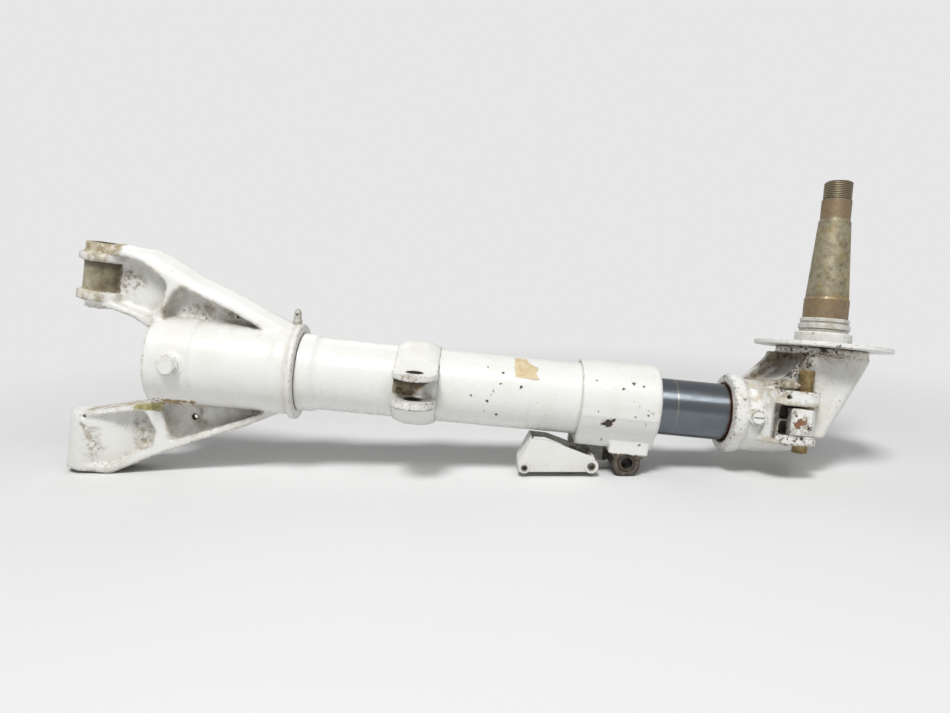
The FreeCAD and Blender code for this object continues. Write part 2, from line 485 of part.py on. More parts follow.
def make_fitting():
    socket = turned_x([(FIT_X0, 0), (FIT_X0, 33.6), (FIT_X0 + 1.6, 35.2), (FIT_X0 + 4, 35.8), (576.2, 35.5),
                       (578.3, 34.2), (579.4, 32.6), (600, 32.4), (614, 32.3), (622, 31.4), (630, 28.9), (638, 24.6),
                       (644.5, 19.2), (648.6, 13.0), (650.2, 6.0), (650.2, 0)])
    leg = prism(ELBOW, -29.5, 29.5)
    long_edges = []
    for edge in leg.Edges:
        mid = edge.CenterOfMass
        if abs(abs(mid.y) - 29.5) < 1e-6 and mid.x > 655 and mid.z < 56:
            long_edges.append(edge)
    leg = leg.makeFillet(9.0, long_edges)
    pad = turned_z([(PAD_LOW, 0), (PAD_LOW, PAD_R - 0.8), (PAD_LOW + 0.8, PAD_R), (DISC_LOW - 0.05, PAD_R),
                    (DISC_LOW - 0.05, 0)], AXLE_X)
    neck = turned_z([(46, 0), (46, 24), (52, 26.5), (PAD_LOW, 31.0), (PAD_LOW, 0)], AXLE_X)
    ears = prism_z([(588, -27), (596.5, -41), (602, -46.6), (606, -47), (TORQUE_PIN_X, -47), (TORQUE_PIN_X, -24),
                    (600, -20), (580, -20)], EAR_LOW, EAR_TOP)
    nose = cyl(TORQUE_EAR_R, EAR_TOP - EAR_LOW, (TORQUE_PIN_X, TORQUE_PIN_Y, EAR_LOW), (0, 0, 1))
    heel = box(TORQUE_PIN_X - 2, TORQUE_PIN_X + TORQUE_EAR_R, TORQUE_PIN_Y, -24, EAR_LOW, EAR_TOP)
    plug_boss = cyl(7.2, 36.2, (585.3, -36.2, 0), (0, 1, 0))
    rear = prism(REAR_WALL, 19.5, 29.5)
    whole = fuse(socket, leg, rear, pad, neck, ears, nose, heel, plug_boss)
    gap = prism_z([(599.5, -52), (601.5, -33), (603, -31), (640, -31), (640, -52)], EAR_SLOT_LOW, EAR_SLOT_TOP)
    rib = box(600, 609.0, -44, -30.5, -0.2, 1.6)
    whole = whole.cut(gap)
    whole = fuse(whole, rib)
    whole = whole.cut(prism(TROUGH, -22.5, 19.5))
    whole = whole.cut(cyl(PISTON_R + SEAT_GAP, PISTON_END + 0.2 - 560, (560, 0, 0), (1, 0, 0)))
    whole = whole.cut(cyl(19.9 + SEAT_GAP, 80, (AXLE_X, 0, 20), (0, 0, 1)))
    bush_hole = TORQUE_PIN_R + 1.5 + RUN_GAP + SEAT_GAP
    whole = whole.cut(cyl(bush_hole, 70, (TORQUE_PIN_X, TORQUE_PIN_Y, -30), (0, 0, 1)))
    whole = whole.cut(cyl(2.0, 14, (606.0, -50, 20.6), (0, 1, 0)))
    whole = whole.cut(cyl(TORQUE_PIN_R + 0.8, 30, (TORQUE_PIN_X, TORQUE_PIN_Y, EAR_TOP), (0, 0, 1)))
    whole = whole.cut(cyl(10.4, EAR_SLOT_TOP - EAR_SLOT_LOW, (TORQUE_PIN_X, TORQUE_PIN_Y, EAR_SLOT_LOW), (0, 0, 1)))
    whole = whole.cut(cyl(5.2, 3.45, (585.3, -39, 0), (0, 1, 0)))
    whole = whole.cut(cyl(4.0 + SEAT_GAP, 100, (585.3, -50, 0), (0, 1, 0)))
    whole = whole.cut(box(565, 572, -1.6, 1.6, 24, 40))
    return whole.cut(cyl(3.0 + SEAT_GAP, 30, (AXLE_X - 10, 12, 34), (0, 1, 0)))


piston["axle_fitting"] = make_fitting()
piston["fitting_lock_plug"] = fuse(cyl(5.1, 2.4, (585.3, -38.0, 0), (0, 1, 0)),
                                   cyl(4.0, 68, (585.3, -36.0, 0), (0, 1, 0))).cut(
    box(581, 590, -39, -37.2, -0.6, 0.6))

# axle and the parts on it
TOP = 217.0


def make_axle():
    profile = [(22, 8.5), (22, 18.9), (23, 19.9), (DISC_HIGH, 19.9), (DISC_HIGH, RING_SEAT_R), (92.9, RING_SEAT_R),
               (92.9, SEAT_IN_R), (109.8, SEAT_IN_R), (111.6, 18.2), (181.0, 13.6), (182.4, SEAT_OUT_R),
               (200.2, SEAT_OUT_R), (201.0, THREAD_R), (TOP - 1.2, THREAD_R), (TOP, THREAD_R - 1.1), (TOP, 8.5)]
    whole = turned_z(profile, AXLE_X)
    whole = whole.cut(box(AXLE_X - 20, AXLE_X + 20, -1.9, 1.9, 209, TOP + 1))
    return whole.cut(cyl(3.0 + SEAT_GAP, 30, (AXLE_X - 10, 12, 34), (0, 1, 0)))


piston["axle"] = make_axle()
piston["brake_flange"] = turned_z([(DISC_LOW, 19.9 + SEAT_GAP), (DISC_LOW, DISC_R - 0.6), (DISC_LOW + 0.6, DISC_R),
                                   (DISC_HIGH - 0.6, DISC_R), (DISC_HIGH, DISC_R - 0.6),
                                   (DISC_HIGH, 19.9 + SEAT_GAP)], AXLE_X)
FLANGE_HOLES = 6
FLANGE_PCD = 98.0
FLANGE_HOLE_R = 4.2
SCREWS = 4
SCREW_PCD = 58.0
for i in range(FLANGE_HOLES):
    angle = math.radians(360 / FLANGE_HOLES * i)
    spot = (AXLE_X + FLANGE_PCD / 2 * math.cos(angle), FLANGE_PCD / 2 * math.sin(angle), 60)
    piston["brake_flange"] = piston["brake_flange"].cut(cyl(FLANGE_HOLE_R, 20, spot, (0, 0, 1)))
screws = []
for i in range(SCREWS):
    angle = math.radians(360 / SCREWS * (i + 0.5))
    x = AXLE_X + SCREW_PCD / 2 * math.cos(angle)
    y = SCREW_PCD / 2 * math.sin(angle)
    piston["brake_flange"] = piston["brake_flange"].cut(
        turned_z([(60, 0), (60, 2.5), (67.2, 2.5), (DISC_HIGH + 0.01, 5.2), (DISC_HIGH + 0.01, 0)], x, y))
    piston["axle_fitting"] = piston["axle_fitting"].cut(cyl(2.5, 12, (x, y, 55), (0, 0, 1)))
    head = turned_z([(56, 0), (56, 2.42), (67.25, 2.42), (DISC_HIGH - 0.15, 4.9), (DISC_HIGH - 0.15, 0)], x, y)
    screws.append(head.cut(box(x - 3.6, x + 3.6, y - 0.6, y + 0.6, DISC_HIGH - 1.2, DISC_HIGH + 1)))
piston["brake_flange_screws"] = Part.makeCompound(screws)

AXLE_FIT = RING_SEAT_R + SEAT_GAP
piston["axle_spacer_ring"] = turned_z([(DISC_HIGH, AXLE_FIT), (DISC_HIGH, 23.2), (70.8, 24.0), (79.0, 24.0),
                                       (80.2, 23.2), (80.2, AXLE_FIT)], AXLE_X)
piston["axle_seal_ring"] = turned_z([(80.2, AXLE_FIT), (80.2, 20.6), (83.1, 20.6), (83.3, 21.6), (87.2, 21.6),
                                     (87.8, 21.0), (87.8, AXLE_FIT)], AXLE_X)
piston["axle_backing_ring"] = turned_z([(87.8, AXLE_FIT), (87.8, 20.0), (89.4, 20.0), (89.6, 20.7), (92.4, 20.7),
                                        (92.8, 20.4), (92.8, AXLE_FIT)], AXLE_X)
piston["axle_lock_pin"] = cyl(3.0, 16.5, (AXLE_X - 10, 14, 34), (0, 1, 0))

# torque link pin, its bushes and the knuckle left on it
piston["torque_ear_bushes"] = Part.makeCompound([
    ring(TORQUE_PIN_R + 1.5 + RUN_GAP, TORQUE_PIN_R + RUN_GAP, z1 - z0, (TORQUE_PIN_X, TORQUE_PIN_Y, z0), (0, 0, 1))
    for z0, z1 in ((EAR_LOW, EAR_SLOT_LOW), (EAR_SLOT_TOP, EAR_TOP))])
SCREW_Z = 30.6


def make_torque_pin():
    pin = turned_z([(-27.0, 0), (-27.0, TORQUE_PIN_R - 0.8), (-26.2, TORQUE_PIN_R), (44.2, TORQUE_PIN_R),
                    (45.0, TORQUE_PIN_R - 0.8), (45.0, 0)], TORQUE_PIN_X, TORQUE_PIN_Y)
    return pin.cut(cyl(2.4 + SEAT_GAP, 40, (600, TORQUE_PIN_Y, SCREW_Z), (1, 0, 0)))


piston["torque_pin"] = make_torque_pin()
piston["pin_retaining_screw"] = fuse(cyl(3.7, 12.6, (604.6, TORQUE_PIN_Y, SCREW_Z), (1, 0, 0)),
                                     cyl(2.4, 26.5, (603.2, TORQUE_PIN_Y, SCREW_Z), (1, 0, 0))).cut(
    cyl(9, 20, (TORQUE_PIN_X, TORQUE_PIN_Y, 20), (0, 0, 1)).cut(
        cyl(TORQUE_PIN_R + 0.1, 20, (TORQUE_PIN_X, TORQUE_PIN_Y, 20), (0, 0, 1))).common(
        cyl(9, 40, (614.9, TORQUE_PIN_Y, SCREW_Z), (1, 0, 0)).cut(cyl(2.4, 40, (614, TORQUE_PIN_Y, SCREW_Z), (1, 0, 0)))))


def make_knuckle():
    low = EAR_SLOT_LOW + 0.1
    high = EAR_SLOT_TOP - 1.6
    front = box(610.2, 627.6, -46.2, TORQUE_PIN_Y, low, high)
    core = cyl(9.4, high - low, (TORQUE_PIN_X, TORQUE_PIN_Y, low), (0, 0, 1))
    body = fuse(front, core)
    reach = cyl(16.2, 40, (TORQUE_PIN_X, TORQUE_PIN_Y, -20), (0, 0, 1))
    body = body.common(reach)
    return body.cut(cyl(TORQUE_PIN_R + RUN_GAP, 60, (TORQUE_PIN_X, TORQUE_PIN_Y, -30), (0, 0, 1)))


piston["torque_knuckle"] = make_knuckle()

for name, shape in piston.items():
    turned = shape.copy()
    turned.rotate(Vector(0, 0, 0), Vector(1, 0, 0), -AXLE_LEAN)
    nodes[name] = turned

# ---------------------------------------------------------------- set down on the ground
reach = LUG_X - FOOT_X
drop = LUG_Z - FOOT_Z
tilt = math.atan2(drop, reach) - math.asin(LUG_R / math.hypot(reach, drop))
for shape in nodes.values():
    shape.rotate(Vector(0, 0, 0), Vector(0, 1, 0), math.degrees(tilt))
extent = Part.makeCompound(list(nodes.values())).optimalBoundingBox(False, False)
shift = Vector(-(extent.XMin + extent.XMax) / 2, -(extent.YMin + extent.YMax) / 2, -extent.ZMin)
os.makedirs("parts", exist_ok=True)
for name, shape in nodes.items():
    shape.translate(shift)
    shape.exportStep("parts/" + name + ".step")
    print(name, len(shape.Solids), shape.isValid(), round(shape.Volume / 1000, 2))
print("tilt", math.degrees(tilt), "shift", shift.x, shift.y, shift.z)
print("size", extent.XLength, extent.YLength, extent.ZLength)
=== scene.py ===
"""Landing gear strut: cast skins, finishes, threads, label remnant and stage around the fixed frame."""
import json
import math
import random

import bmesh
import bpy
from bpy.props import FloatProperty, FloatVectorProperty, IntProperty, PointerProperty
from mathutils import Matrix, Vector, noise


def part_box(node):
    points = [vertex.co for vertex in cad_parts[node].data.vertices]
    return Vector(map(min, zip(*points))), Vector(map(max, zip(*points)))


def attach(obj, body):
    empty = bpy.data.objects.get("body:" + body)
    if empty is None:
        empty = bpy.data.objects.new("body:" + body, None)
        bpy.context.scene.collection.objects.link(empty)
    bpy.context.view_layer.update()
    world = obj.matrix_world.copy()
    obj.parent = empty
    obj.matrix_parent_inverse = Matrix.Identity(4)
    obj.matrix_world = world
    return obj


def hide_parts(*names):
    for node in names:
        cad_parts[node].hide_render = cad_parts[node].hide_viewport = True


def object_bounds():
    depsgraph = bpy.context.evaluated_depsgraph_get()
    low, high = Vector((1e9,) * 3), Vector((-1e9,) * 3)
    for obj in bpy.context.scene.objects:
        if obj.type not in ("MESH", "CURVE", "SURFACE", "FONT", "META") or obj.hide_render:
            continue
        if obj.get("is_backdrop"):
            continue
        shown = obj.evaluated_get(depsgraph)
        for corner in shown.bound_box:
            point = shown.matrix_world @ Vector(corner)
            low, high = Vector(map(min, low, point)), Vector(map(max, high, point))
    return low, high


bl_info = {
    "name": "Landing gear strut",
    "version": (1, 0, 0),
    "blender": (4, 5, 0),
    "location": "3D View > Sidebar > Strut",
    "description": "Finishes and small pieces of a lying oleo strut",
    "category": "Object",
}

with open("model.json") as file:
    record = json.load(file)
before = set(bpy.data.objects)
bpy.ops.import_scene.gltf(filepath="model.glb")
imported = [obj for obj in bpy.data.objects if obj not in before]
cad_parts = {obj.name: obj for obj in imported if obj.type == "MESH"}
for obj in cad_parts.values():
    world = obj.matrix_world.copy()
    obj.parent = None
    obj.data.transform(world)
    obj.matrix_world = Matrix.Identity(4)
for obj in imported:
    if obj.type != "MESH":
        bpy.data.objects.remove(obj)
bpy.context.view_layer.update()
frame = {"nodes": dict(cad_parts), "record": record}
NODES = frame["nodes"]
MOUNTS = {m["name"]: m for m in frame["record"]["mounts"]}
JOINTS = {j["name"]: j for j in frame["record"]["behaviour"]["joints"]}
SLOTS = {s["node"]: s["material_slot"] for s in frame["record"]["subparts"]}

# strut frame: along the barrel, across it and out towards the upper arm, in millimetres
MM = 0.001
ALONG = Vector(JOINTS["piston_slide"]["axis"]).normalized()
ACROSS = Vector((0, 1, 0))
OUT = Vector((-ALONG.z, 0, ALONG.x))
BRACE_PIN = Vector((288.8, -47.8, 15.0))
ORIGIN = (Vector(MOUNTS["brace_pin_bore"]["pos_m"])
          - (ALONG * BRACE_PIN.x + ACROSS * BRACE_PIN.y + OUT * BRACE_PIN.z) * MM)
AXLE_UP = Vector(MOUNTS["axle_inner_seat"]["axis"]).normalized()
SEAT_HEIGHT = 101.35


def place(x, y, z):
    """World position of a point given in strut millimetres."""
    return ORIGIN + (ALONG * x + ACROSS * y + OUT * z) * MM


def axle_point(height):
    """World position on the axle's centre line, height in millimetres from the strut axis."""
    return Vector(MOUNTS["axle_inner_seat"]["pos_m"]) + AXLE_UP * ((height - SEAT_HEIGHT) * MM)


def basis(origin, up, side):
    """Matrix whose Z is up and whose X lies near side."""
    z = up.normalized()
    x = (side - z * side.dot(z)).normalized()
    y = z.cross(x)
    m = Matrix((x, y, z)).transposed().to_4x4()
    m.translation = origin
    return m


# wear: (x, y, z, radius) in strut millimetres
WEAR_SEED = 11
BARREL_SHELL = 32.4
COLLAR_SHELL = 36.4
WEB_FACE = -3.0
RIM_FACE = -16.0
LUG_FACE = -25.0
EAR_FACE = -48.0
KNUCKLE_FACE = -45.0


def on_shell(shell, along, turn, reach, sweep, count, size):
    """Marks thrown over a patch of a round surface; turn is in degrees up from the near side."""
    draw = random.Random(WEAR_SEED + count + int(along))
    marks = []
    for _ in range(count):
        angle = math.radians(turn + sweep * draw.uniform(-1, 1))
        place_along = along + reach * draw.uniform(-1, 1)
        marks.append((place_along, -shell * math.cos(angle), shell * math.sin(angle),
                      size * draw.uniform(0.6, 1.4)))
    return marks


def on_face(face, along, out, reach, rise, count, size):
    """Marks thrown over a patch of a near face that stands at one distance across."""
    draw = random.Random(WEAR_SEED + count + int(along))
    return [(along + reach * draw.uniform(-1, 1), face, out + rise * draw.uniform(-1, 1),
             size * draw.uniform(0.6, 1.4)) for _ in range(count)]


# Bare metal: a few specks on the open surfaces, closer together where the parts get knocked.
CHIPS = {
    "barrel_tube": on_shell(BARREL_SHELL, 370, 10, 40, 40, 13, 0.8),
    "torque_collar": (
        on_shell(COLLAR_SHELL, 465, 10, 30, 40, 11, 1.0)
        + on_shell(COLLAR_SHELL, 455, -20, 8, 5, 5, 2.5)
        + on_face(LUG_FACE, 470, -30, 22, 5, 5, 1.2)),
    "trunnion_casting": on_face(RIM_FACE, 30, 0, 35, 80, 4, 1.0) + on_face(WEB_FACE, 95, 45, 35, 6, 4,
                                                                           0.9),
    "brace_collar": on_shell(BARREL_SHELL + 3, 275, 5, 3, 4, 2, 2.0),
    "axle_fitting": (
        on_face(-20, 610, 42, 6, 5, 3, 2.6) + on_face(-37, 597, 23, 7, 5, 4, 1.3)
        + on_face(-28, 640, 67, 12, 2, 4, 2.2) + on_face(EAR_FACE, 618, -9, 6, 2, 2, 1.4)),
    "brake_flange": on_face(-46, 635, 73, 12, 1, 2, 1.9),
    "torque_knuckle": on_face(KNUCKLE_FACE, 620, 4, 11, 10, 5, 1.5),
}
# Dirt: on the pocket floors, at the arm ends, in the ear roots and under the flange.
STAINS = {
    "torque_collar": on_shell(COLLAR_SHELL - 1, 490, 15, 6, 50, 2, 3.0),
    "trunnion_casting": (
        on_face(WEB_FACE, 35, 70, 8, 9, 4, 6.5) + on_face(RIM_FACE, 0, -75, 6, 12, 4, 5.5)
        + on_face(RIM_FACE, 45, 60, 25, 25, 6, 4.0) + on_face(WEB_FACE, 105, 45, 22, 8, 5, 5.0)
        + on_face(WEB_FACE, 60, -75, 35, 18, 5, 8.0) + on_face(WEB_FACE, 110, -47, 14, 5, 2, 6.5)),
    "brace_collar": on_face(-37, 284, 0, 6, 3, 2, 5.5) + on_face(-63, 283, 8, 7, 12, 3, 5.2),
    "axle_fitting": on_face(-27, 643, 66, 16, 3, 3, 9.5) + on_face(-30, 576, 10, 14, 18, 3, 2.8),
    "torque_knuckle": on_face(KNUCKLE_FACE, 617, 5, 9, 10, 5, 4.5),
}
RUST_PATCH = on_face(-46, 620, 5, 6, 2, 4, 2.7)


# ------------------------------------------------------------------ sizes and colours
def colour(name, text, value):
    return FloatVectorProperty(name=name, description=text, default=value, subtype="COLOR", size=3,
                               min=0.0, max=1.0)


class StrutPaint(bpy.types.PropertyGroup):
    paint: colour("Paint", "White gloss paint", (0.80, 0.80, 0.772))
    aged: colour("Aged paint", "Paint where it has yellowed", (0.70, 0.68, 0.61))
    primer: colour("Primer", "Cream primer at the rim of a chip", (0.50, 0.43, 0.29))
    bare: colour("Bare casting", "Stained light alloy", (0.27, 0.22, 0.145))
    dark: colour("Dark chip", "Bottom of a deep chip", (0.045, 0.036, 0.03))
    rust: colour("Rust", "Rust in chips and joints", (0.25, 0.105, 0.04))
    # grime is also the colour of the painted shade deepest in corners
    grime: colour("Grime", "Oily dirt in corners", (0.16, 0.145, 0.115))


class StrutMetal(bpy.types.PropertyGroup):
    steel: colour("Steel", "Plated fastener steel", (0.42, 0.40, 0.36))
    patina: colour("Patina", "Brown stained steel", (0.24, 0.185, 0.105))
    gold: colour("Varnish", "Yellow varnish on stained steel", (0.42, 0.32, 0.15))
    black: colour("Oiled steel", "Dark oiled steel", (0.05, 0.043, 0.036))
    chrome: colour("Chrome", "Polished hard chrome", (0.175, 0.195, 0.215))
    bronze: colour("Bronze", "Bearing bronze", (0.38, 0.25, 0.11))
    alloy: colour("Alloy", "Machined light alloy", (0.62, 0.62, 0.63))


class StrutShapes(bpy.types.PropertyGroup):
    casting_voxel: FloatProperty(name="Casting grain", description="Mesh size of the trunnion casting",
                                 default=0.00132, min=0.0008, unit="LENGTH")
    fitting_voxel: FloatProperty(name="Fitting grain", description="Mesh size of the axle fitting",
                                 default=0.001, min=0.0006, unit="LENGTH")
    collar_voxel: FloatProperty(name="Collar grain", description="Mesh size of the collars",
                                default=0.0008, min=0.0006, unit="LENGTH")
    lump: FloatProperty(name="Casting unevenness", description="Depth of the lumps in the castings",
                        default=0.00022, min=0.0, unit="LENGTH")
    thread_pitch: FloatProperty(name="Thread pitch", description="Pitch of the axle thread",
                                default=0.0016, min=0.0005, unit="LENGTH")
    thread_depth: FloatProperty(name="Thread depth", description="Height of the axle thread",
                                default=0.00055, min=0.0001, unit="LENGTH")
    knurl_ribs: IntProperty(name="Cap ribs", description="Number of ribs round the valve cap",
                            default=24, min=6)
    label_skin: FloatProperty(name="Label thickness", description="Thickness of the torn label",
                              default=0.00012, min=0.00005, unit="LENGTH")


class StrutStage(bpy.types.PropertyGroup):
    floor: colour("Floor", "Pale floor", (0.75, 0.75, 0.75))
    lens: FloatProperty(name="Lens", description="Focal length of the camera", default=28.042,
                        min=10.0, unit="CAMERA")
    key: FloatProperty(name="Key light", description="Power of the large soft light", default=49.0,
                       min=0.0,
                       unit="POWER")
    fill: FloatProperty(name="Fill light", description="Power of the side light", default=6.0, min=0.0,
                        unit="POWER")
    sky: FloatProperty(name="Sky", description="Strength of the even light all round", default=0.22,
                       min=0.0)
    gloss_sky: FloatProperty(name="Sky in reflections",
                             description="Strength of the sky that metal mirrors",
                             default=0.5, min=0.0)


# ------------------------------------------------------------------ material building
class Finish:
    """A node material under construction; every method returns a socket."""

    def __init__(self, name):
        self.material = bpy.data.materials.new(name)
        self.material.use_nodes = True
        self.tree = self.material.node_tree
        self.tree.nodes.clear()
        self.output = self.tree.nodes.new("ShaderNodeOutputMaterial")
        self.shader = self.tree.nodes.new("ShaderNodeBsdfPrincipled")
        self.tree.links.new(self.shader.outputs[0], self.output.inputs[0])
        self.coords = self.tree.nodes.new("ShaderNodeTexCoord").outputs["Object"]

    def set(self, name, value):
        socket = self.shader.inputs[name]
        if isinstance(value, bpy.types.NodeSocket):
            self.tree.links.new(value, socket)
        elif hasattr(value, "__len__"):
            socket.default_value = (*value[:3], 1.0)
        else:
            socket.default_value = value

    def feed(self, socket, value):
        if isinstance(value, bpy.types.NodeSocket):
            self.tree.links.new(value, socket)
        elif hasattr(value, "__len__") and len(value) == 3 and socket.type == "RGBA":
            socket.default_value = (*value, 1.0)
        else:
            socket.default_value = value

    def times(self, *values):
        return self.math("MULTIPLY", *values)

    def plus(self, *values):
        return self.math("ADD", *values)

    def minus(self, *values):
        return self.math("SUBTRACT", *values)

    def either(self, *values):
        return self.math("MAXIMUM", *values)

    def across(self, a, b):
        """Distance from an axis, from the two offsets square to it."""
        return self.math("SQRT", self.plus(self.times(a, a), self.times(b, b)))

    def fray(self, scale, detail, roughness, amount):
        """Noise about nought, in millimetres, that makes a zone's limit ragged."""
        return self.times(self.minus(self.noise(scale, detail, roughness), 0.5), amount)

    def math(self, operation, a, b=0.0, clamp=False):
        node = self.tree.nodes.new("ShaderNodeMath")
        node.operation = operation
        node.use_clamp = clamp
        self.feed(node.inputs[0], a)
        self.feed(node.inputs[1], b)
        return node.outputs[0]

    def vector(self, operation, a, b=(0.0, 0.0, 0.0), scale=1.0):
        node = self.tree.nodes.new("ShaderNodeVectorMath")
        node.operation = operation
        self.feed(node.inputs[0], a)
        if operation == "SCALE":
            self.feed(node.inputs["Scale"], scale)
        else:
            self.feed(node.inputs[1], b)
        return node.outputs["Value" if operation in ("DOT_PRODUCT", "DISTANCE", "LENGTH") else "Vector"]

    def mix(self, share, a, b, blend="MIX"):
        node = self.tree.nodes.new("ShaderNodeMix")
        node.data_type = "RGBA"
        node.blend_type = blend
        self.feed(node.inputs[0], share)
        self.feed(node.inputs[6], a)
        self.feed(node.inputs[7], b)
        return node.outputs[2]

    def step(self, value, low, high, to_low=0.0, to_high=1.0):
        node = self.tree.nodes.new("ShaderNodeMapRange")
        node.interpolation_type = "SMOOTHSTEP"
        for index, item in enumerate((value, low, high, to_low, to_high)):
            self.feed(node.inputs[index], item)
        return node.outputs[0]

    def noise(self, scale, detail=2.0, rough=0.5, distortion=0.0, coords=None, colour_out=False):
        node = self.tree.nodes.new("ShaderNodeTexNoise")
        self.feed(node.inputs["Vector"], coords or self.coords)
        node.inputs["Scale"].default_value = scale
        node.inputs["Detail"].default_value = detail
        node.inputs["Roughness"].default_value = rough
        node.inputs["Distortion"].default_value = distortion
        return node.outputs["Color" if colour_out else "Fac"]

    def warped(self, scale, amount):
        """Object coordinates pushed about by noise, amount in metres."""
        swirl = self.vector("SUBTRACT", self.noise(scale, 3.0, 0.6, colour_out=True), (0.5, 0.5, 0.5))
        return self.vector("ADD", self.coords, self.vector("SCALE", swirl, scale=amount))

    def strut(self, coords=None):
        """(along, across, out) in strut millimetres as three sockets."""
        local = self.vector("SUBTRACT", coords or self.coords, tuple(ORIGIN))
        return [self.times(self.vector("DOT_PRODUCT", local, tuple(axis)), 1000.0) for axis in (ALONG,
                                                                                                ACROSS, OUT)]

    def band(self, value, low, high, soft):
        """1 between low and high, with soft sides."""
        rise = self.step(value, low - soft, low + soft)
        fall = self.step(value, high - soft, high + soft, 1.0, 0.0)
        return self.times(rise, fall)

    def spots(self, table, coords, soft=0.25, torn=0.0):
        """1 inside any of the (x, y, z, radius) balls, in strut millimetres; torn frays their rims."""
        nearest = None
        for x, y, z, radius in table:
            gap = self.math("DIVIDE", self.vector("DISTANCE", coords, tuple(place(x, y, z))), radius * MM)
            nearest = gap if nearest is None else self.math("MINIMUM", nearest, gap)
        return self.step(self.plus(nearest, torn), 1.0 - soft, 1.0 + soft, 1.0, 0.0)

    def hollow(self, distance, samples=6):
        node = self.tree.nodes.new("ShaderNodeAmbientOcclusion")
        node.samples = samples
        node.inputs["Distance"].default_value = distance
        return self.minus(1.0, node.outputs["AO"])

    def rounded(self, radius, samples=4):
        node = self.tree.nodes.new("ShaderNodeBevel")
        node.samples = samples
        node.inputs["Radius"].default_value = radius
        return node.outputs[0]

    def edges(self, radius, low=0.015, high=0.14):
        """1 on sharp edges, and the rounded normal."""
        soft = self.rounded(radius)
        flat = self.tree.nodes.new("ShaderNodeNewGeometry").outputs["Normal"]
        turn = self.minus(1.0, self.vector("DOT_PRODUCT", soft, flat))
        return self.step(turn, low, high), soft

    def bump(self, height, distance, strength=1.0, normal=None):
        node = self.tree.nodes.new("ShaderNodeBump")
        node.inputs["Strength"].default_value = strength
        node.inputs["Distance"].default_value = distance
        self.feed(node.inputs["Height"], height)
        if normal is not None:
            self.feed(node.inputs["Normal"], normal)
        return node.outputs[0]


def most(finish, *values):
    top = values[0]
    for value in values[1:]:
        top = finish.either(top, value)
    return top


def worn_paint(name, scene, chips=(), stains=(), chip_level=0.70, chip_scale=420.0, edge_gain=0.10,
               zone=None, zone_gain=0.0, grime=0.6, age=0.35, bare=None, edge_radius=0.0011, dots=0.0,
               gloss=0.34, rough_cast=0.00006, rust_share=0.4, edge_soil=0.5, cast=False):
    """White paint that has yellowed, chipped at edges, caught dirt in corners and carries painted shade in
    its corners and recesses.
    """
    p = scene.strut_paint
    f = Finish(name)
    shaken = f.warped(560.0, 0.0042)
    edge, soft_normal = f.edges(edge_radius, 0.003, 0.035) if cast else f.edges(edge_radius)
    broad = f.noise(28.0, 3.0, 0.55)
    middle = f.noise(130.0, 5.0, 0.66)
    fine = f.noise(chip_scale, 5.0, 0.68, 0.5)
    base = f.mix(f.step(broad, 0.42, 0.72, 0.0, age), tuple(p.paint), tuple(p.aged))
    base = f.mix(f.step(middle, 0.56, 0.74, 0.0, 0.5 * age), base, (0.52, 0.47, 0.37))
    streak = f.step(f.noise(75.0, 5.0, 0.72, 1.2), 0.50, 0.66)
    # corner is an occlusion mask: the two mixes below darken corners and recesses, partly as dirt and partly
    # as painted shade
    corner = f.hollow(0.030)
    corner_dirt_and_shade = f.times(f.step(corner, 0.16, 0.62), f.step(middle, 0.36, 0.60, 0.40, 1.0))
    base = f.mix(f.times(corner_dirt_and_shade, 0.70 * grime, True), base, (0.36, 0.345, 0.285))
    deep = f.times(f.step(corner, 0.52, 1.0), f.either(streak, f.step(fine, 0.46, 0.58)))
    base = f.mix(f.times(deep, grime, True), base, tuple(p.grime))
    soiled_edge = f.times(edge, f.step(middle, 0.44, 0.62))
    base = f.mix(f.times(soiled_edge, edge_soil), base, (0.40, 0.32, 0.20))
    if stains:
        loose = f.warped(70.0, 0.022)
        patchy = f.either(f.step(f.noise(230.0, 5.0, 0.72), 0.42, 0.56, 0.0, 1.0),
                          f.step(streak, 0.0, 1.0, 0.12, 0.45))
        soil = f.times(f.spots(stains, loose, 0.75), patchy)
        muck = f.mix(f.step(fine, 0.40, 0.60), (0.36, 0.28, 0.165), (0.13, 0.105, 0.07))
        base = f.mix(f.times(soil, 0.80), base, muck)
    if dots:
        speck = f.step(f.noise(1100.0, 3.0, 0.6), 0.655, 0.70)
        base = f.mix(f.times(speck, dots), base, tuple(p.grime))
    level = f.plus(fine, f.times(edge, edge_gain))
    if zone is not None:
        level = f.plus(level, f.times(zone(f), zone_gain))
    rim = f.step(level, chip_level - 0.045, chip_level)
    core = f.step(level, chip_level, chip_level + 0.018)
    if chips:
        torn = f.times(f.minus(fine, 0.5), 2.6)
        marks = f.spots(chips, shaken, 0.10, torn)
        halo = f.spots([(x, y, z, r + 0.4) for x, y, z, r in chips], shaken, 0.10, torn)
        core = most(f, core, marks)
        rim = most(f, rim, f.times(halo, 0.6))
    kind = f.step(f.noise(190.0, 3.0, 0.6), 0.46, 0.62, 0.0, rust_share)
    under = f.mix(kind, tuple(p.dark), tuple(p.rust))
    base = f.mix(f.times(rim, 0.6), base, tuple(p.primer))
    base = f.mix(core, base, under)
    height = f.minus(1.0, core)
    rough = f.step(core, 0.0, 1.0, gloss, 0.78)
    if bare is not None:
        naked, tone = bare(f)
        base = f.mix(naked, base, tone)
        rough = most(f, rough, f.times(naked, 0.62))
    rough = f.plus(rough, f.step(middle, 0.3, 0.8, -0.05, 0.12))
    f.set("Base Color", base)
    f.set("Roughness", rough)
    f.set("Specular IOR Level", 0.45)
    normal = f.bump(f.noise(700.0, 3.0, 0.6), rough_cast, 1.0, soft_normal)
    f.set("Normal", f.bump(height, 0.00022, 1.0, normal))
    return f.material


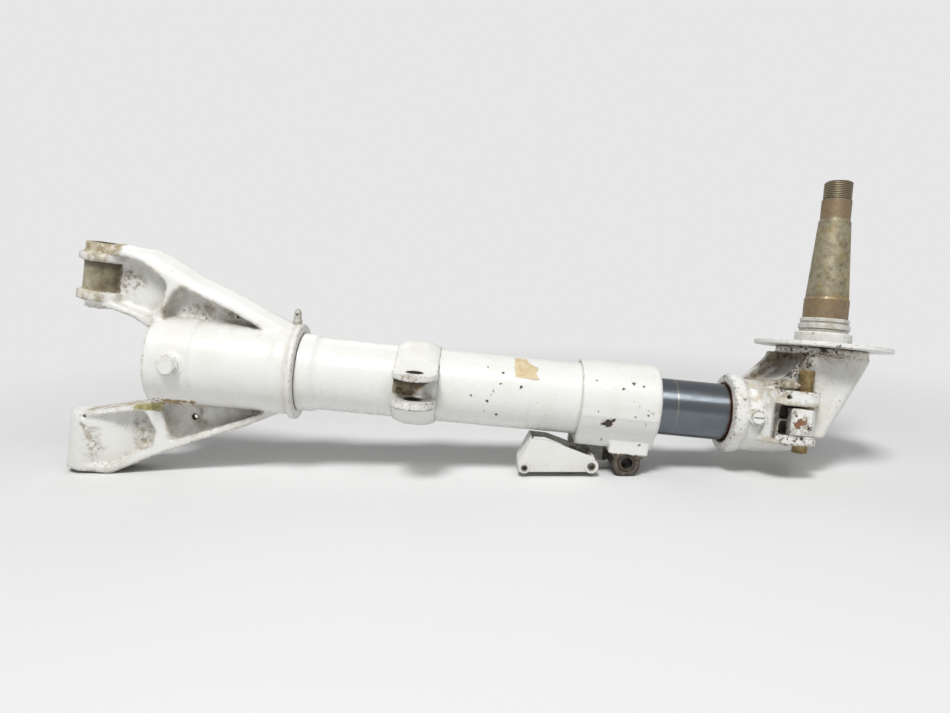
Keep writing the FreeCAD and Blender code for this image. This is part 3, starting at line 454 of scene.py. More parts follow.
def worn_metal(name, colour_a, colour_b, colour_c=None, metallic=0.85, rough=0.38, scale=160.0,
               stretch=None,
               pits=0.0, ridge=0.00003, edge_bright=0.25, edge_radius=0.0006, extra=None, grime=0.30):
    """Metal in two or three tones with cloudy stains, fine marks and brighter edges."""
    f = Finish(name)
    coords = f.coords
    if stretch is not None:
        node = f.tree.nodes.new("ShaderNodeMapping")
        f.feed(node.inputs["Vector"], f.coords)
        node.inputs["Scale"].default_value = stretch
        coords = node.outputs[0]
    edge, soft_normal = f.edges(edge_radius)
    cloud = f.noise(scale, 4.0, 0.62, 0.3, coords)
    grain = f.noise(scale * 6.0, 3.0, 0.6, 0.0, coords)
    base = f.mix(f.step(cloud, 0.36, 0.66), colour_a, colour_b)
    if colour_c is not None:
        base = f.mix(f.step(f.noise(scale * 0.45, 3.0, 0.6, 0.2, coords), 0.50, 0.66), base, colour_c)
    base = f.mix(f.step(grain, 0.30, 0.75, 0.0, grime), base, (0.02, 0.018, 0.015))
    if pits:
        pit = f.step(f.noise(1300.0, 3.0, 0.6), 0.66, 0.70)
        base = f.mix(f.times(pit, pits), base, (0.03, 0.022, 0.015))
    if extra is not None:
        base = extra(f, base)
    bright = tuple(min(1.0, 1.6 * c + 0.12) for c in colour_a)
    base = f.mix(f.times(edge, edge_bright), base, bright)
    f.set("Base Color", base)
    f.set("Metallic", metallic)
    f.set("Roughness", f.step(cloud, 0.3, 0.7, rough - 0.08, rough + 0.14))
    f.set("Normal", f.bump(grain, ridge, 1.0, soft_normal))
    return f.material


def soft_stuff(name, tone, rough):
    """Rubber or plastic with a faint grain and dusty patches."""
    f = Finish(name)
    dust = f.step(f.noise(240.0, 4.0, 0.6), 0.45, 0.7)
    f.set("Base Color", f.mix(f.times(dust, 0.3), tone, tuple(0.7 * c + 0.12 for c in tone)))
    f.set("Roughness", f.step(dust, 0.0, 1.0, rough, min(1.0, rough + 0.2)))
    f.set("Normal", f.bump(f.noise(1600.0, 2.0, 0.5), 0.00002))
    return f.material


# ------------------------------------------------------------------ mesh building
def add_piece(name, mesh, material, body, slot_name, *stands_for):
    """Links a finished mesh as a piece that rides on a body."""
    mesh.materials.clear()
    mesh.materials.append(material)
    obj = bpy.data.objects.new(name, mesh)
    bpy.context.scene.collection.objects.link(obj)
    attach(obj, body)
    if stands_for:
        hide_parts(*stands_for)
    return obj


def body_of_node(node):
    for body, names in frame["record"]["behaviour"]["bodies"].items():
        if node in names:
            return body
    raise RuntimeError("no body holds " + node)


def evaluated_mesh(obj):
    """Plain mesh of an object with its modifiers applied; the object is removed."""
    depsgraph = bpy.context.evaluated_depsgraph_get()
    mesh = bpy.data.meshes.new_from_object(obj.evaluated_get(depsgraph))
    bpy.data.objects.remove(obj)
    return mesh


def cast_skin(node, voxel, passes, lump, material):
    """Copy of a CAD node with edges worn round and the slight unevenness of a casting."""
    low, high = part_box(node)
    bm = bmesh.new()
    bm.from_mesh(NODES[node].data)
    bmesh.ops.remove_doubles(bm, verts=bm.verts, dist=1e-6)
    mesh = bpy.data.meshes.new(node + "_merged")
    bm.to_mesh(mesh)
    bm.free()
    blank = bpy.data.objects.new(node + "_blank", mesh)
    bpy.context.scene.collection.objects.link(blank)
    remesh = blank.modifiers.new("grain", "REMESH")
    remesh.mode = "VOXEL"
    remesh.voxel_size = voxel
    mesh = evaluated_mesh(blank)
    bm = bmesh.new()
    bm.from_mesh(mesh)
    for _ in range(passes):
        bmesh.ops.smooth_vert(bm, verts=bm.verts, factor=0.5, use_axis_x=True, use_axis_y=True,
                              use_axis_z=True)
    bm.normal_update()
    for vert in bm.verts:
        wave = noise.noise(vert.co * 90.0) + 0.5 * noise.noise(vert.co * 260.0)
        vert.co += vert.normal * (lump * (wave - 0.6))
        for axis in range(3):
            vert.co[axis] = min(max(vert.co[axis], low[axis]), high[axis])
    for face in bm.faces:
        face.smooth = True
    bm.to_mesh(mesh)
    bm.free()
    mesh.name = node + "_skin"
    return add_piece(node + "_skin", mesh, material, body_of_node(node), SLOTS[node], node)


def dress(node, material):
    """Puts a material on every slot of a CAD node."""
    obj = NODES[node]
    if not obj.material_slots:
        obj.data.materials.append(material)
    for slot in obj.material_slots:
        slot.material = material


def node_tree(name, sockets):
    """Geometry node group with a geometry output and the named inputs (name, type, default)."""
    tree = bpy.data.node_groups.new(name, "GeometryNodeTree")
    tree.interface.new_socket("Geometry", in_out="OUTPUT", socket_type="NodeSocketGeometry")
    for title, kind, default in sockets:
        socket = tree.interface.new_socket(title, in_out="INPUT", socket_type=kind)
        if default is not None:
            socket.default_value = default
    return tree, tree.nodes.new("NodeGroupInput"), tree.nodes.new("NodeGroupOutput")


def grow(tree, values, matrix):
    """Runs a geometry node group and returns its result as a plain mesh, put in place."""
    blank = bpy.data.objects.new(tree.name, bpy.data.meshes.new(tree.name))
    bpy.context.scene.collection.objects.link(blank)
    modifier = blank.modifiers.new("shape", "NODES")
    modifier.node_group = tree
    for item in tree.interface.items_tree:
        if item.in_out == "INPUT" and item.name in values:
            modifier[item.identifier] = values[item.name]
    mesh = evaluated_mesh(blank)
    if not mesh.polygons:
        raise RuntimeError(tree.name + " made no faces")
    mesh.transform(matrix)
    return mesh


def thread_tree():
    """Helical ridge standing on Z: inputs Length, Pitch, Core Radius, Depth, Material."""
    tree, inlet, outlet = node_tree("helical_thread", (
        ("Length", "NodeSocketFloat", 0.01), ("Pitch", "NodeSocketFloat", 0.0015),
        ("Core Radius", "NodeSocketFloat", 0.01), ("Depth", "NodeSocketFloat", 0.0005),
        ("Material", "NodeSocketMaterial", None)))
    turns = tree.nodes.new("ShaderNodeMath")
    turns.operation = "DIVIDE"
    spiral = tree.nodes.new("GeometryNodeCurveSpiral")
    spiral.inputs["Resolution"].default_value = 48
    upright = tree.nodes.new("GeometryNodeSetCurveNormal")
    upright.mode = "Z_UP"
    profile = tree.nodes.new("GeometryNodeCurvePrimitiveCircle")
    profile.inputs["Resolution"].default_value = 4
    sweep = tree.nodes.new("GeometryNodeCurveToMesh")
    sweep.inputs["Fill Caps"].default_value = True
    real = tree.nodes.new("GeometryNodeRealizeInstances")
    finish = tree.nodes.new("GeometryNodeSetMaterial")
    for a, b in ((inlet.outputs["Length"], turns.inputs[0]), (inlet.outputs["Pitch"], turns.inputs[1]),
                 (turns.outputs[0], spiral.inputs["Rotations"]),
                 (inlet.outputs["Core Radius"], spiral.inputs["Start Radius"]),
                 (inlet.outputs["Core Radius"], spiral.inputs["End Radius"]),
                 (inlet.outputs["Length"], spiral.inputs["Height"]),
                 (spiral.outputs[0], upright.inputs[0]), (upright.outputs[0], sweep.inputs["Curve"]),
                 (inlet.outputs["Depth"], profile.inputs["Radius"]),
                 (profile.outputs[0], sweep.inputs["Profile Curve"]), (sweep.outputs[0], real.inputs[0]),
                 (real.outputs[0], finish.inputs["Geometry"]),
                 (inlet.outputs["Material"], finish.inputs["Material"]),
                 (finish.outputs[0], outlet.inputs[0])):
        tree.links.new(a, b)
    return tree


def rib_tree():
    """Ribs on a circle about Z: inputs Count, Radius, Width, Height, Material."""
    tree, inlet, outlet = node_tree("ribs_on_circle", (
        ("Count", "NodeSocketInt", 24), ("Radius", "NodeSocketFloat", 0.005),
        ("Width", "NodeSocketFloat", 0.0005), ("Height", "NodeSocketFloat", 0.006),
        ("Material", "NodeSocketMaterial", None)))
    circle = tree.nodes.new("GeometryNodeCurvePrimitiveCircle")
    points = tree.nodes.new("GeometryNodeCurveToPoints")
    rib = tree.nodes.new("GeometryNodeMeshCylinder")
    rib.inputs["Vertices"].default_value = 6
    instances = tree.nodes.new("GeometryNodeInstanceOnPoints")
    real = tree.nodes.new("GeometryNodeRealizeInstances")
    finish = tree.nodes.new("GeometryNodeSetMaterial")
    for a, b in ((inlet.outputs["Radius"], circle.inputs["Radius"]),
                 (circle.outputs[0], points.inputs["Curve"]),
                 (inlet.outputs["Count"], points.inputs["Count"]),
                 (inlet.outputs["Width"], rib.inputs["Radius"]),
                 (inlet.outputs["Height"], rib.inputs["Depth"]),
                 (points.outputs["Points"], instances.inputs["Points"]),
                 (rib.outputs[0], instances.inputs["Instance"]),
                 (instances.outputs[0], real.inputs[0]), (real.outputs[0], finish.inputs["Geometry"]),
                 (inlet.outputs["Material"], finish.inputs["Material"]),
                 (finish.outputs[0], outlet.inputs[0])):
        tree.links.new(a, b)
    return tree


# ------------------------------------------------------------------ zones of wear
BOSS_CANT = math.radians(3.4)


def pivot_coordinates(f):
    """Height along the canted pivot axis and distance from it, in millimetres."""
    x, y, z = f.strut()
    sine, cosine = math.sin(BOSS_CANT), math.cos(BOSS_CANT)
    height = f.plus(f.times(x, sine), f.times(z, cosine))
    aside = f.minus(f.times(x, cosine), f.times(z, sine))
    distance = f.across(aside, y)
    return height, distance, aside


# Drain hole in the lower arm's web, the slant of its ledge and the slant of the elbow's recess.
HOLE_X = 91.3
HOLE_Z = -50.5
LEDGE_SLOPE = -0.236
RECESS_FOOT = 590.0
RECESS_SLOPE = 0.85


def boss_wear_and_shade(f):
    """Bare, stained metal on the upper boss with painted shading and a painted flange shadow on it, and the
    broken paint above the lower arm.
    """
    height, distance, aside = pivot_coordinates(f)
    x, y, z = f.strut()
    ragged = f.fray(170.0, 5.0, 0.7, 16.0)
    near = f.step(f.plus(distance, f.times(ragged, 0.45)), 17.0, 18.5, 1.0, 0.0)
    barrel = f.times(near, f.band(f.plus(height, f.times(ragged, 0.06)), 56.0, 82.3, 0.5))
    reach = f.step(f.plus(aside, ragged), 18.0, 22.0, 1.0, 0.0)
    cap = f.times(reach, f.step(f.plus(height, f.times(ragged, 0.2)), 88.3, 89.6))
    worn = f.step(f.noise(150.0, 5.0, 0.72), 0.36, 0.52, 0.45, 1.0)
    flange = f.either(f.band(height, 82.0, 89.2, 0.4), f.band(height, 47.6, 56.0, 0.4))
    flange = f.times(flange, f.step(f.plus(distance, f.times(ragged, 0.5)), 15.0, 18.5))
    flange = f.times(flange, f.step(aside, 13.0, 9.0))
    flange = f.times(flange, f.step(f.noise(95.0, 5.0, 0.72), 0.40, 0.58, 0.15, 0.85))
    naked = most(f, barrel, f.times(cap, worn), flange)
    cloud = f.noise(120.0, 5.0, 0.66)
    # pale and dark are lit and shaded tones of the bare boss; turn blends them from left to right as painted
    # shading of the round boss
    pale = f.mix(f.step(cloud, 0.36, 0.64), (0.46, 0.43, 0.33), (0.33, 0.295, 0.20))
    dark = f.mix(f.step(cloud, 0.36, 0.64), (0.235, 0.20, 0.125), (0.12, 0.10, 0.062))
    turn = f.step(f.plus(aside, f.times(ragged, 0.4)), -12.0, 8.0)
    tone = f.mix(turn, pale, dark)
    rusty = f.times(f.step(f.noise(210.0, 4.0, 0.7), 0.54, 0.66), f.step(height, 70.0, 58.0))
    tone = f.mix(f.times(rusty, 0.7), tone, (0.30, 0.17, 0.08))
    # under: painted shadow of the upper flange on the boss, darkest just beneath the flange
    under = f.step(height, 74.0, 82.0)
    tone = f.mix(f.times(under, 0.75), tone, (0.05, 0.042, 0.032))
    cream = f.mix(f.step(cloud, 0.42, 0.58), (0.50, 0.455, 0.34), (0.34, 0.27, 0.16))
    tone = f.mix(f.step(height, 82.0, 82.6), tone, cream)
    tone = f.mix(f.step(height, 56.2, 55.6), tone, cream)
    moss = f.band(f.plus(z, f.times(ragged, 0.22)), -45.0, -37.0, 0.8)
    moss = f.times(moss, f.band(f.plus(x, f.times(ragged, 0.6)), 42.0, 67.0, 1.5))
    moss = f.times(moss, f.step(y, -10.0, -13.0))
    moss_tone = f.mix(f.step(f.noise(240.0, 4.0, 0.66), 0.42, 0.58), (0.27, 0.26, 0.085),
                      (0.46, 0.40, 0.20))
    broken = f.band(f.plus(z, f.times(ragged, 0.20)), -41.5, -30.5, 0.8)
    broken = f.times(broken, f.band(f.plus(x, ragged), 62.0, 97.0, 2.0))
    broken = f.times(broken, f.step(y, -12.0, -15.0))
    broken = f.times(broken, f.step(f.noise(190.0, 5.0, 0.68), 0.40, 0.52))
    scab = f.mix(f.step(f.noise(240.0, 4.0, 0.66), 0.42, 0.58), (0.42, 0.29, 0.13), (0.20, 0.135, 0.075))
    ledge = f.band(f.plus(z, f.times(x, LEDGE_SLOPE)), -56.5, -48.0, 1.5)
    ledge = f.times(ledge, f.times(f.band(x, -6.0, 52.0, 4.0), f.step(y, -12.0, -6.0)))
    ledge = f.times(ledge, f.step(f.noise(110.0, 5.0, 0.7), 0.40, 0.56, 0.2, 0.9))
    tone = f.mix(ledge, tone, f.mix(f.step(cloud, 0.4, 0.6), (0.52, 0.46, 0.34), (0.34, 0.25, 0.14)))
    off_x = f.minus(x, HOLE_X)
    off_z = f.minus(z, HOLE_Z)
    radius = f.across(off_x, off_z)
    hole = f.step(f.plus(radius, f.times(ragged, 0.25)), 2.7, 3.4, 1.0, 0.0)
    tone = f.mix(broken, tone, scab)
    tone = f.mix(moss, tone, moss_tone)
    # the near-black core is painted shade in the drain hole; the brown ring round it is a stain
    tone = f.mix(hole, tone, f.mix(f.step(radius, 2.1, 2.5), (0.012, 0.01, 0.008), (0.13, 0.075, 0.035)))
    return most(f, naked, broken, moss, ledge, hole), tone


def lug_wear(f):
    """Dark oily steel of the torque lug's eye below the painted block."""
    x, y, z = f.strut()
    ragged = f.fray(260.0, 3.0, 0.6, 4.0)
    low = f.step(f.plus(z, ragged), -42.0, -40.2, 1.0, 0.0)
    eye = f.times(low, f.step(x, 463.0, 465.0))
    cloud = f.noise(300.0, 4.0, 0.6)
    tone = f.mix(f.step(cloud, 0.4, 0.6), (0.055, 0.046, 0.036), (0.13, 0.105, 0.075))
    return eye, tone


def slot_wear_and_shadow(f):
    """Rust and dirt in the slot between the brace ears, with a painted shadow under the upper ear."""
    x, y, z = f.strut()
    ragged = f.fray(230.0, 4.0, 0.65, 7.0)
    inside = f.band(f.plus(z, f.times(ragged, 0.25)), -4.6, 11.7, 0.6)
    reach = f.minus(f.plus(x, ragged), f.times(z, 1.1))
    side = f.step(reach, 290.0, 294.0, 1.0, 0.0)
    inside = f.times(inside, f.times(side, f.step(y, -33.0, -30.0, 1.0, 0.0)))
    cloud = f.noise(180.0, 5.0, 0.7, 1.6)
    tone = f.mix(f.step(cloud, 0.40, 0.56), (0.06, 0.05, 0.032), (0.30, 0.25, 0.17))
    glow = f.times(f.step(f.noise(210.0, 4.0, 0.65, 1.8), 0.54, 0.62), f.step(z, 7.0, 2.0))
    tone = f.mix(f.times(glow, 0.85), tone, (0.36, 0.17, 0.055))
    # near-black over the upper part of the slot: painted shadow cast by the upper ear
    tone = f.mix(f.step(z, 3.0, 8.0, 0.0, 0.9), tone, (0.028, 0.024, 0.016))
    return inside, tone


def brace_zone(f):
    """Where the brace collar's paint is chipped: round the tip and under the lip of the lower ear."""
    x, y, z = f.strut()
    lip = f.times(f.band(z, -12.0, -3.5, 1.0), f.step(y, -48.0, -56.0))
    return most(f, lip, f.times(f.band(z, 11.0, 13.5, 0.8), f.step(y, -52.0, -60.0)))


def fitting_zone(f):
    """Where the fitting's paint is most broken: under the flange, along the rim and on the lower ear."""
    x, y, z = f.strut()
    under = f.times(f.step(z, 58.0, 64.0), f.step(x, 664.0, 644.0))
    rim = f.times(f.band(f.minus(z, f.times(f.minus(x, RECESS_FOOT), RECESS_SLOPE)), 16.0, 40.0, 5.0),
                  f.band(x, 598.0, 632.0, 4.0))
    rim = f.times(rim, f.step(y, -8.0, -14.0))
    ear = f.times(f.band(z, -14.0, -4.0, 2.0), f.step(y, -38.0, -42.0, 0.0, 0.62))
    lip = f.times(f.band(x, 560.0, 577.0, 2.0), 0.30)
    near_ears = f.times(f.band(z, 12.0, 34.0, 3.0), f.times(f.step(y, -20.0, -26.0), 0.12))
    return most(f, f.times(under, 0.9), rim, ear, lip, near_ears)


def fitting_recess(f):
    """Dirty brown inside of the elbow's recess, painted shade in the ear slot and the rust at the mouth."""
    x, y, z = f.strut()
    ragged = f.fray(200.0, 5.0, 0.7, 12.0)
    inner = f.times(f.step(f.plus(y, ragged), -22.0, -14.0), f.step(f.hollow(0.045), 0.22, 0.42))
    slope = f.minus(z, f.times(f.minus(x, RECESS_FOOT), RECESS_SLOPE))
    inner = f.times(inner, f.step(f.plus(slope, f.times(ragged, 0.4)), 17.0, 22.0))
    inner = f.times(inner, f.band(x, 580.0, 640.0, 2.0))
    inner = f.times(inner, f.step(z, 60.0, 58.5))
    stain = f.step(f.noise(130.0, 5.0, 0.72), 0.38, 0.58, 0.60, 0.97)
    cloud = f.noise(160.0, 5.0, 0.7, 0.6)
    tone = f.mix(f.step(cloud, 0.44, 0.64), (0.12, 0.092, 0.06), (0.40, 0.34, 0.24))
    # slot: near-black painted shade filling the slot between the fitting's ears
    slot = f.times(f.band(z, -11.0, 20.4, 0.8), f.band(x, 596.0, 613.0, 1.5))
    slot = f.times(slot, f.step(y, -45.5, -43.0))
    slot = f.times(slot, f.step(y, -23.0, -26.0))
    tone = f.mix(slot, tone, f.mix(f.step(cloud, 0.4, 0.6), (0.03, 0.025, 0.02), (0.14, 0.11, 0.08)))
    mouth = f.step(x, 566.8, 566.2)
    tone = f.mix(mouth, tone, (0.15, 0.09, 0.05))
    spread = f.across(y, z)
    lip = f.times(mouth, f.step(f.plus(spread, f.times(ragged, 0.2)), 27.4, 28.6, 1.0, 0.0))
    soiled = f.step(f.noise(110.0, 5.0, 0.72), 0.42, 0.60)
    shoulder = f.times(f.band(x, 579.0, 606.0, 3.0), f.step(f.plus(z, ragged), 10.0, 20.0))
    ear_top = f.times(f.either(f.band(z, 14.0, 23.0, 2.0), f.band(z, -14.5, -10.0, 1.0)),
                      f.step(y, -30.0, -38.0))
    cream = f.times(f.either(shoulder, ear_top), soiled)
    covered = most(f, inner, lip, slot)
    tone = f.mix(f.times(cream, f.minus(1.0, covered), True), tone, (0.53, 0.45, 0.29))
    return most(f, f.times(inner, stain), lip, f.times(slot, 0.93), f.times(cream, 0.7)), tone


def knuckle_patch(f):
    """Rust where the paint came off the knuckle's face."""
    torn = f.fray(420.0, 5.0, 0.7, 2.6)
    patch = f.spots(RUST_PATCH, f.warped(300.0, 0.005), 0.08, torn)
    tone = f.mix(f.step(f.noise(300.0, 3.0, 0.6), 0.42, 0.6), (0.13, 0.075, 0.045), (0.26, 0.125, 0.06))
    return patch, tone


def axle_tones(f, base):
    """Change along the axle: rusty seats, dark thread, yellow varnish on one side and by the seats."""
    local = f.vector("SUBTRACT", f.coords, tuple(axle_point(0.0)))
    height = f.times(f.vector("DOT_PRODUCT", local, tuple(AXLE_UP)), 1000.0)
    aside = f.times(f.vector("DOT_PRODUCT", local, tuple(ALONG)), 1000.0)
    ragged = f.fray(170.0, 5.0, 0.7, 12.0)
    lifted = f.plus(height, ragged)
    seat = f.either(f.band(lifted, 92.0, 113.0, 2.0), f.band(lifted, 183.0, 201.0, 1.5))
    base = f.mix(f.times(seat, 0.6), base, (0.24, 0.155, 0.085))
    varnish = f.times(f.step(f.plus(aside, f.times(ragged, 0.6)), 8.0, 12.0),
                      f.band(lifted, 112.0, 166.0, 4.0))
    line = f.times(f.band(lifted, 109.5, 113.0, 0.8), f.step(aside, -4.0, 2.0))
    varnish = f.either(varnish, line)
    patchy = f.step(f.noise(260.0, 4.0, 0.7), 0.42, 0.56)
    base = f.mix(f.times(f.times(varnish, patchy), 0.75), base, (0.42, 0.34, 0.10))
    scuff = f.times(f.band(lifted, 118.0, 180.0, 8.0), f.step(f.noise(140.0, 5.0, 0.75), 0.42, 0.60))
    base = f.mix(f.times(scuff, 0.5), base, (0.44, 0.395, 0.27))
    return f.mix(f.times(f.step(height, 199.8, 201.2), 0.78), base, (0.03, 0.025, 0.018))


def groove_dirt_and_shade(f, base):
    """Dirt and painted shade in the grooves between rings, from an occlusion mask."""
    return f.mix(f.step(f.hollow(0.008), 0.30, 0.62, 0.0, 0.9), base, (0.12, 0.105, 0.08))


def piston_tones(f, base):
    """Faint yellow ring round the chrome and a brown tint at its mouth."""
    x, y, z = f.strut()
    ring = f.band(x, 518.5, 519.6, 0.5)
    faded = f.times(ring, f.step(z, -8.0, 6.0, 0.12, 0.55))
    base = f.mix(faded, base, (0.46, 0.44, 0.34))
    mouth = f.step(f.plus(x, f.times(f.noise(300.0, 3.0, 0.6), 3.0)), 564.5, 567.5)
    return f.mix(mouth, base, (0.14, 0.06, 0.025))


# ------------------------------------------------------------------ operators
class STRUT_OT_cast_skins(bpy.types.Operator):
    """Make the castings and collars with worn edges and their chipped paint"""
    bl_idname = "strut.cast_skins"
    bl_label = "Castings and Collars"

    def execute(self, context):
        scene = context.scene
        s = scene.strut_shapes
        finish = worn_paint("casting_paint", scene, CHIPS["trunnion_casting"], STAINS["trunnion_casting"],
                            chip_level=0.705, edge_gain=0.10, grime=1.0, age=0.45, bare=boss_wear_and_shade,
                            dots=0.35,
                            edge_radius=0.0036, rust_share=0.2, edge_soil=0.75, cast=True)
        cast_skin("trunnion_casting", s.casting_voxel, 1, 0.6 * s.lump, finish)
        finish = worn_paint("brace_paint", scene, CHIPS["brace_collar"], STAINS["brace_collar"],
                            chip_level=0.70,
                            edge_gain=0.13, grime=0.9, age=0.5, bare=slot_wear_and_shadow, dots=0.3,
                            edge_radius=0.002, cast=True,
                            zone=brace_zone, zone_gain=0.09)
        cast_skin("brace_collar", s.collar_voxel, 1, 0.6 * s.lump, finish)
        finish = worn_paint("collar_paint", scene, CHIPS["torque_collar"], STAINS["torque_collar"],
                            chip_level=0.72, edge_gain=0.11, grime=0.7, age=0.45, bare=lug_wear, dots=0.3,
                            edge_radius=0.002, rust_share=0.2, rough_cast=0.0001, cast=True)
        cast_skin("torque_collar", s.collar_voxel, 1, 0.4 * s.lump, finish)
        finish = worn_paint("fitting_paint", scene, CHIPS["axle_fitting"], STAINS["axle_fitting"],
                            chip_level=0.675,
                            chip_scale=430.0, edge_gain=0.13, zone=fitting_zone, zone_gain=0.15,
                            grime=1.0, age=0.9,
                            bare=fitting_recess, dots=0.7, rough_cast=0.00014, edge_radius=0.003,
                            rust_share=0.25,
                            edge_soil=0.7, cast=True)
        cast_skin("axle_fitting", s.fitting_voxel, 2, 1.5 * s.lump, finish)
        return {"FINISHED"}


class STRUT_OT_painted_parts(bpy.types.Operator):
    """Give the barrel, bracket, bolts, flange and knuckle their worn white paint"""
    bl_idname = "strut.painted_parts"
    bl_label = "Painted Parts"

    def execute(self, context):
        scene = context.scene
        dress("barrel_tube", worn_paint("barrel_paint", scene, CHIPS["barrel_tube"], chip_level=0.80,
                                        edge_gain=0.03,
                                        grime=0.35, age=0.25, gloss=0.28, dots=0.15, rough_cast=0.00003,
                                        rust_share=0.1))
        dress("door_bracket", worn_paint("bracket_paint", scene, chip_level=0.73, edge_gain=0.10,
                                         grime=0.6, age=0.3,
                                         gloss=0.5, dots=0.5))
        finish = worn_paint("painted_bolt", scene, chip_level=0.76, edge_gain=0.08, grime=0.5, age=0.2,
                            edge_radius=0.0006)
        for node in ("barrel_bolt", "barrel_bolt_washers", "barrel_bolt_nut"):
            dress(node, finish)
        finish = worn_paint("flange_paint", scene, CHIPS["brake_flange"], chip_level=0.66, edge_gain=0.12,
                            grime=0.8, age=0.7, dots=0.6)
        dress("brake_flange", finish)
        dress("fitting_lock_plug", worn_paint("plug_paint", scene, chip_level=0.68, edge_gain=0.14,
                                              grime=1.0, age=0.5,
                                              edge_radius=0.0005))
        dress("axle_spacer_ring", worn_paint("ring_paint", scene, chip_level=0.64, edge_gain=0.10,
                                             grime=0.8, age=0.8,
                                             dots=0.6))
        dress("torque_knuckle", worn_paint("knuckle_paint", scene, CHIPS["torque_knuckle"],
                                           STAINS["torque_knuckle"],
                                           chip_level=0.67, edge_gain=0.17, grime=1.0, age=1.0,
                                           bare=knuckle_patch,
                                           dots=0.8, edge_radius=0.0016, edge_soil=0.95))
        return {"FINISHED"}


class STRUT_OT_metal_parts(bpy.types.Operator):
    """Give the piston, axle, pins, bushes and inner parts their metals"""
    bl_idname = "strut.metal_parts"
    bl_label = "Bare Metal Parts"

    def execute(self, context):
        m = context.scene.strut_metal
        steel, patina, gold, black = (tuple(c) for c in (m.steel, m.patina, m.gold, m.black))
        dark_steel = tuple(0.6 * c for c in steel)
        made = {
            "bushing_steel": worn_metal("bushing_steel", dark_steel, patina, pits=0.4),
            "fitting_steel": worn_metal("fitting_steel", (0.66, 0.65, 0.60), (0.48, 0.46, 0.38),
                                        metallic=0.35, scale=300.0,
                                        rough=0.4, ridge=0.000012),
            "lug_steel": worn_metal("lug_steel", black, (0.12, 0.10, 0.075), metallic=0.6, rough=0.42,
                                    edge_bright=0.2),
            "fastener_steel": worn_metal("fastener_steel", steel, dark_steel, scale=350.0),
            "inner_steel": worn_metal("inner_steel", (0.50, 0.50, 0.49), steel, rough=0.3),
            "axle_steel": worn_metal("axle_steel", (0.36, 0.32, 0.22), (0.21, 0.17, 0.11),
                                     (0.33, 0.26, 0.125),
                                     metallic=0.5, rough=0.46, scale=210.0, pits=0.6, extra=axle_tones,
                                     edge_bright=0.2, ridge=0.00003),
            "ring_steel": worn_metal("ring_steel", (0.74, 0.73, 0.68), (0.56, 0.53, 0.44), metallic=0.1,
                                     scale=120.0,
                                     rough=0.32, ridge=0.000003, edge_bright=0.0, extra=groove_dirt_and_shade),
            "pin_steel": worn_metal("pin_steel", (0.34, 0.245, 0.10), (0.17, 0.12, 0.055),
                                    (0.46, 0.35, 0.15),
                                    metallic=0.6, scale=120.0, pits=0.5),
            "screw_steel": worn_metal("screw_steel", (0.58, 0.54, 0.44), (0.30, 0.24, 0.15),
                                      metallic=0.3, scale=260.0,
                                      rough=0.5, ridge=0.000015, pits=0.5),
            "valve_steel": worn_metal("valve_steel", steel, (0.30, 0.29, 0.26), scale=300.0),
            "piston_chrome": worn_metal("piston_chrome", tuple(m.chrome),
                                        tuple(0.85 * c for c in m.chrome),
                                        metallic=1.0, rough=0.27, scale=40.0, stretch=(0.35, 1.0, 1.0),
                                        ridge=0.000001, edge_bright=0.0, extra=piston_tones, grime=0.06),
            "bare_aluminium": worn_metal("bare_aluminium", tuple(m.alloy), (0.48, 0.48, 0.47), rough=0.34),
            "valve_brass": worn_metal("valve_brass", (0.50, 0.37, 0.14), (0.28, 0.20, 0.09), scale=300.0),
            "bushing_bronze": worn_metal("bushing_bronze", tuple(m.bronze), (0.14, 0.09, 0.05), pits=0.3),
            "gland_bronze": worn_metal("gland_bronze", tuple(m.bronze), (0.25, 0.17, 0.08)),
            "valve_cap": worn_metal("valve_cap", (0.30, 0.30, 0.30), (0.16, 0.16, 0.16), scale=300.0),
        }
        for node, slot in SLOTS.items():
            if slot in made:
                dress(node, made[slot])
        # The brace ear bushes are made near-black as painted shade in the ear bores.
        dress("brace_ear_bushes", worn_metal("bush_painted_shade", (0.06, 0.048, 0.035), (0.03, 0.025, 0.018),
                                             metallic=0.4,
                                             rough=0.6, edge_bright=0.05))
        return {"FINISHED"}


class STRUT_OT_seals(bpy.types.Operator):
    """Give the seals, wiper and back-up rings their rubber and plastic"""
    bl_idname = "strut.seals"
    bl_label = "Seals and Rings"

    def execute(self, context):
        made = {
            "seal_rubber": soft_stuff("seal_rubber", (0.018, 0.018, 0.018), 0.5),
            "wiper": soft_stuff("wiper", (0.03, 0.028, 0.026), 0.6),
            "back_up_ring": soft_stuff("back_up_ring", (0.72, 0.70, 0.64), 0.45),
        }
        for node, slot in SLOTS.items():
            if slot in made:
                dress(node, made[slot])
        return {"FINISHED"}


THREAD_START = 201.6
THREAD_END = 216.4
THREAD_CORE = 11.62


class STRUT_OT_axle_thread(bpy.types.Operator):
    """Wind the nut thread round the axle's tip"""
    bl_idname = "strut.axle_thread"
    bl_label = "Axle Thread"

    def execute(self, context):
        s = context.scene.strut_shapes
        material = bpy.data.materials["axle_steel"]
        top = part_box("axle")[1].z
        matrix = basis(axle_point(THREAD_START), AXLE_UP, ALONG)
        values = {"Length": (THREAD_END - THREAD_START) * MM, "Pitch": s.thread_pitch,
                  "Core Radius": THREAD_CORE * MM, "Depth": s.thread_depth, "Material": material}
        mesh = grow(thread_tree(), values, matrix)
        if max(v.co.z for v in mesh.vertices) > top:
            raise RuntimeError("the axle thread stands above the axle")
        add_piece("axle_thread", mesh, material, body_of_node("axle"), SLOTS["axle"])
        return {"FINISHED"}


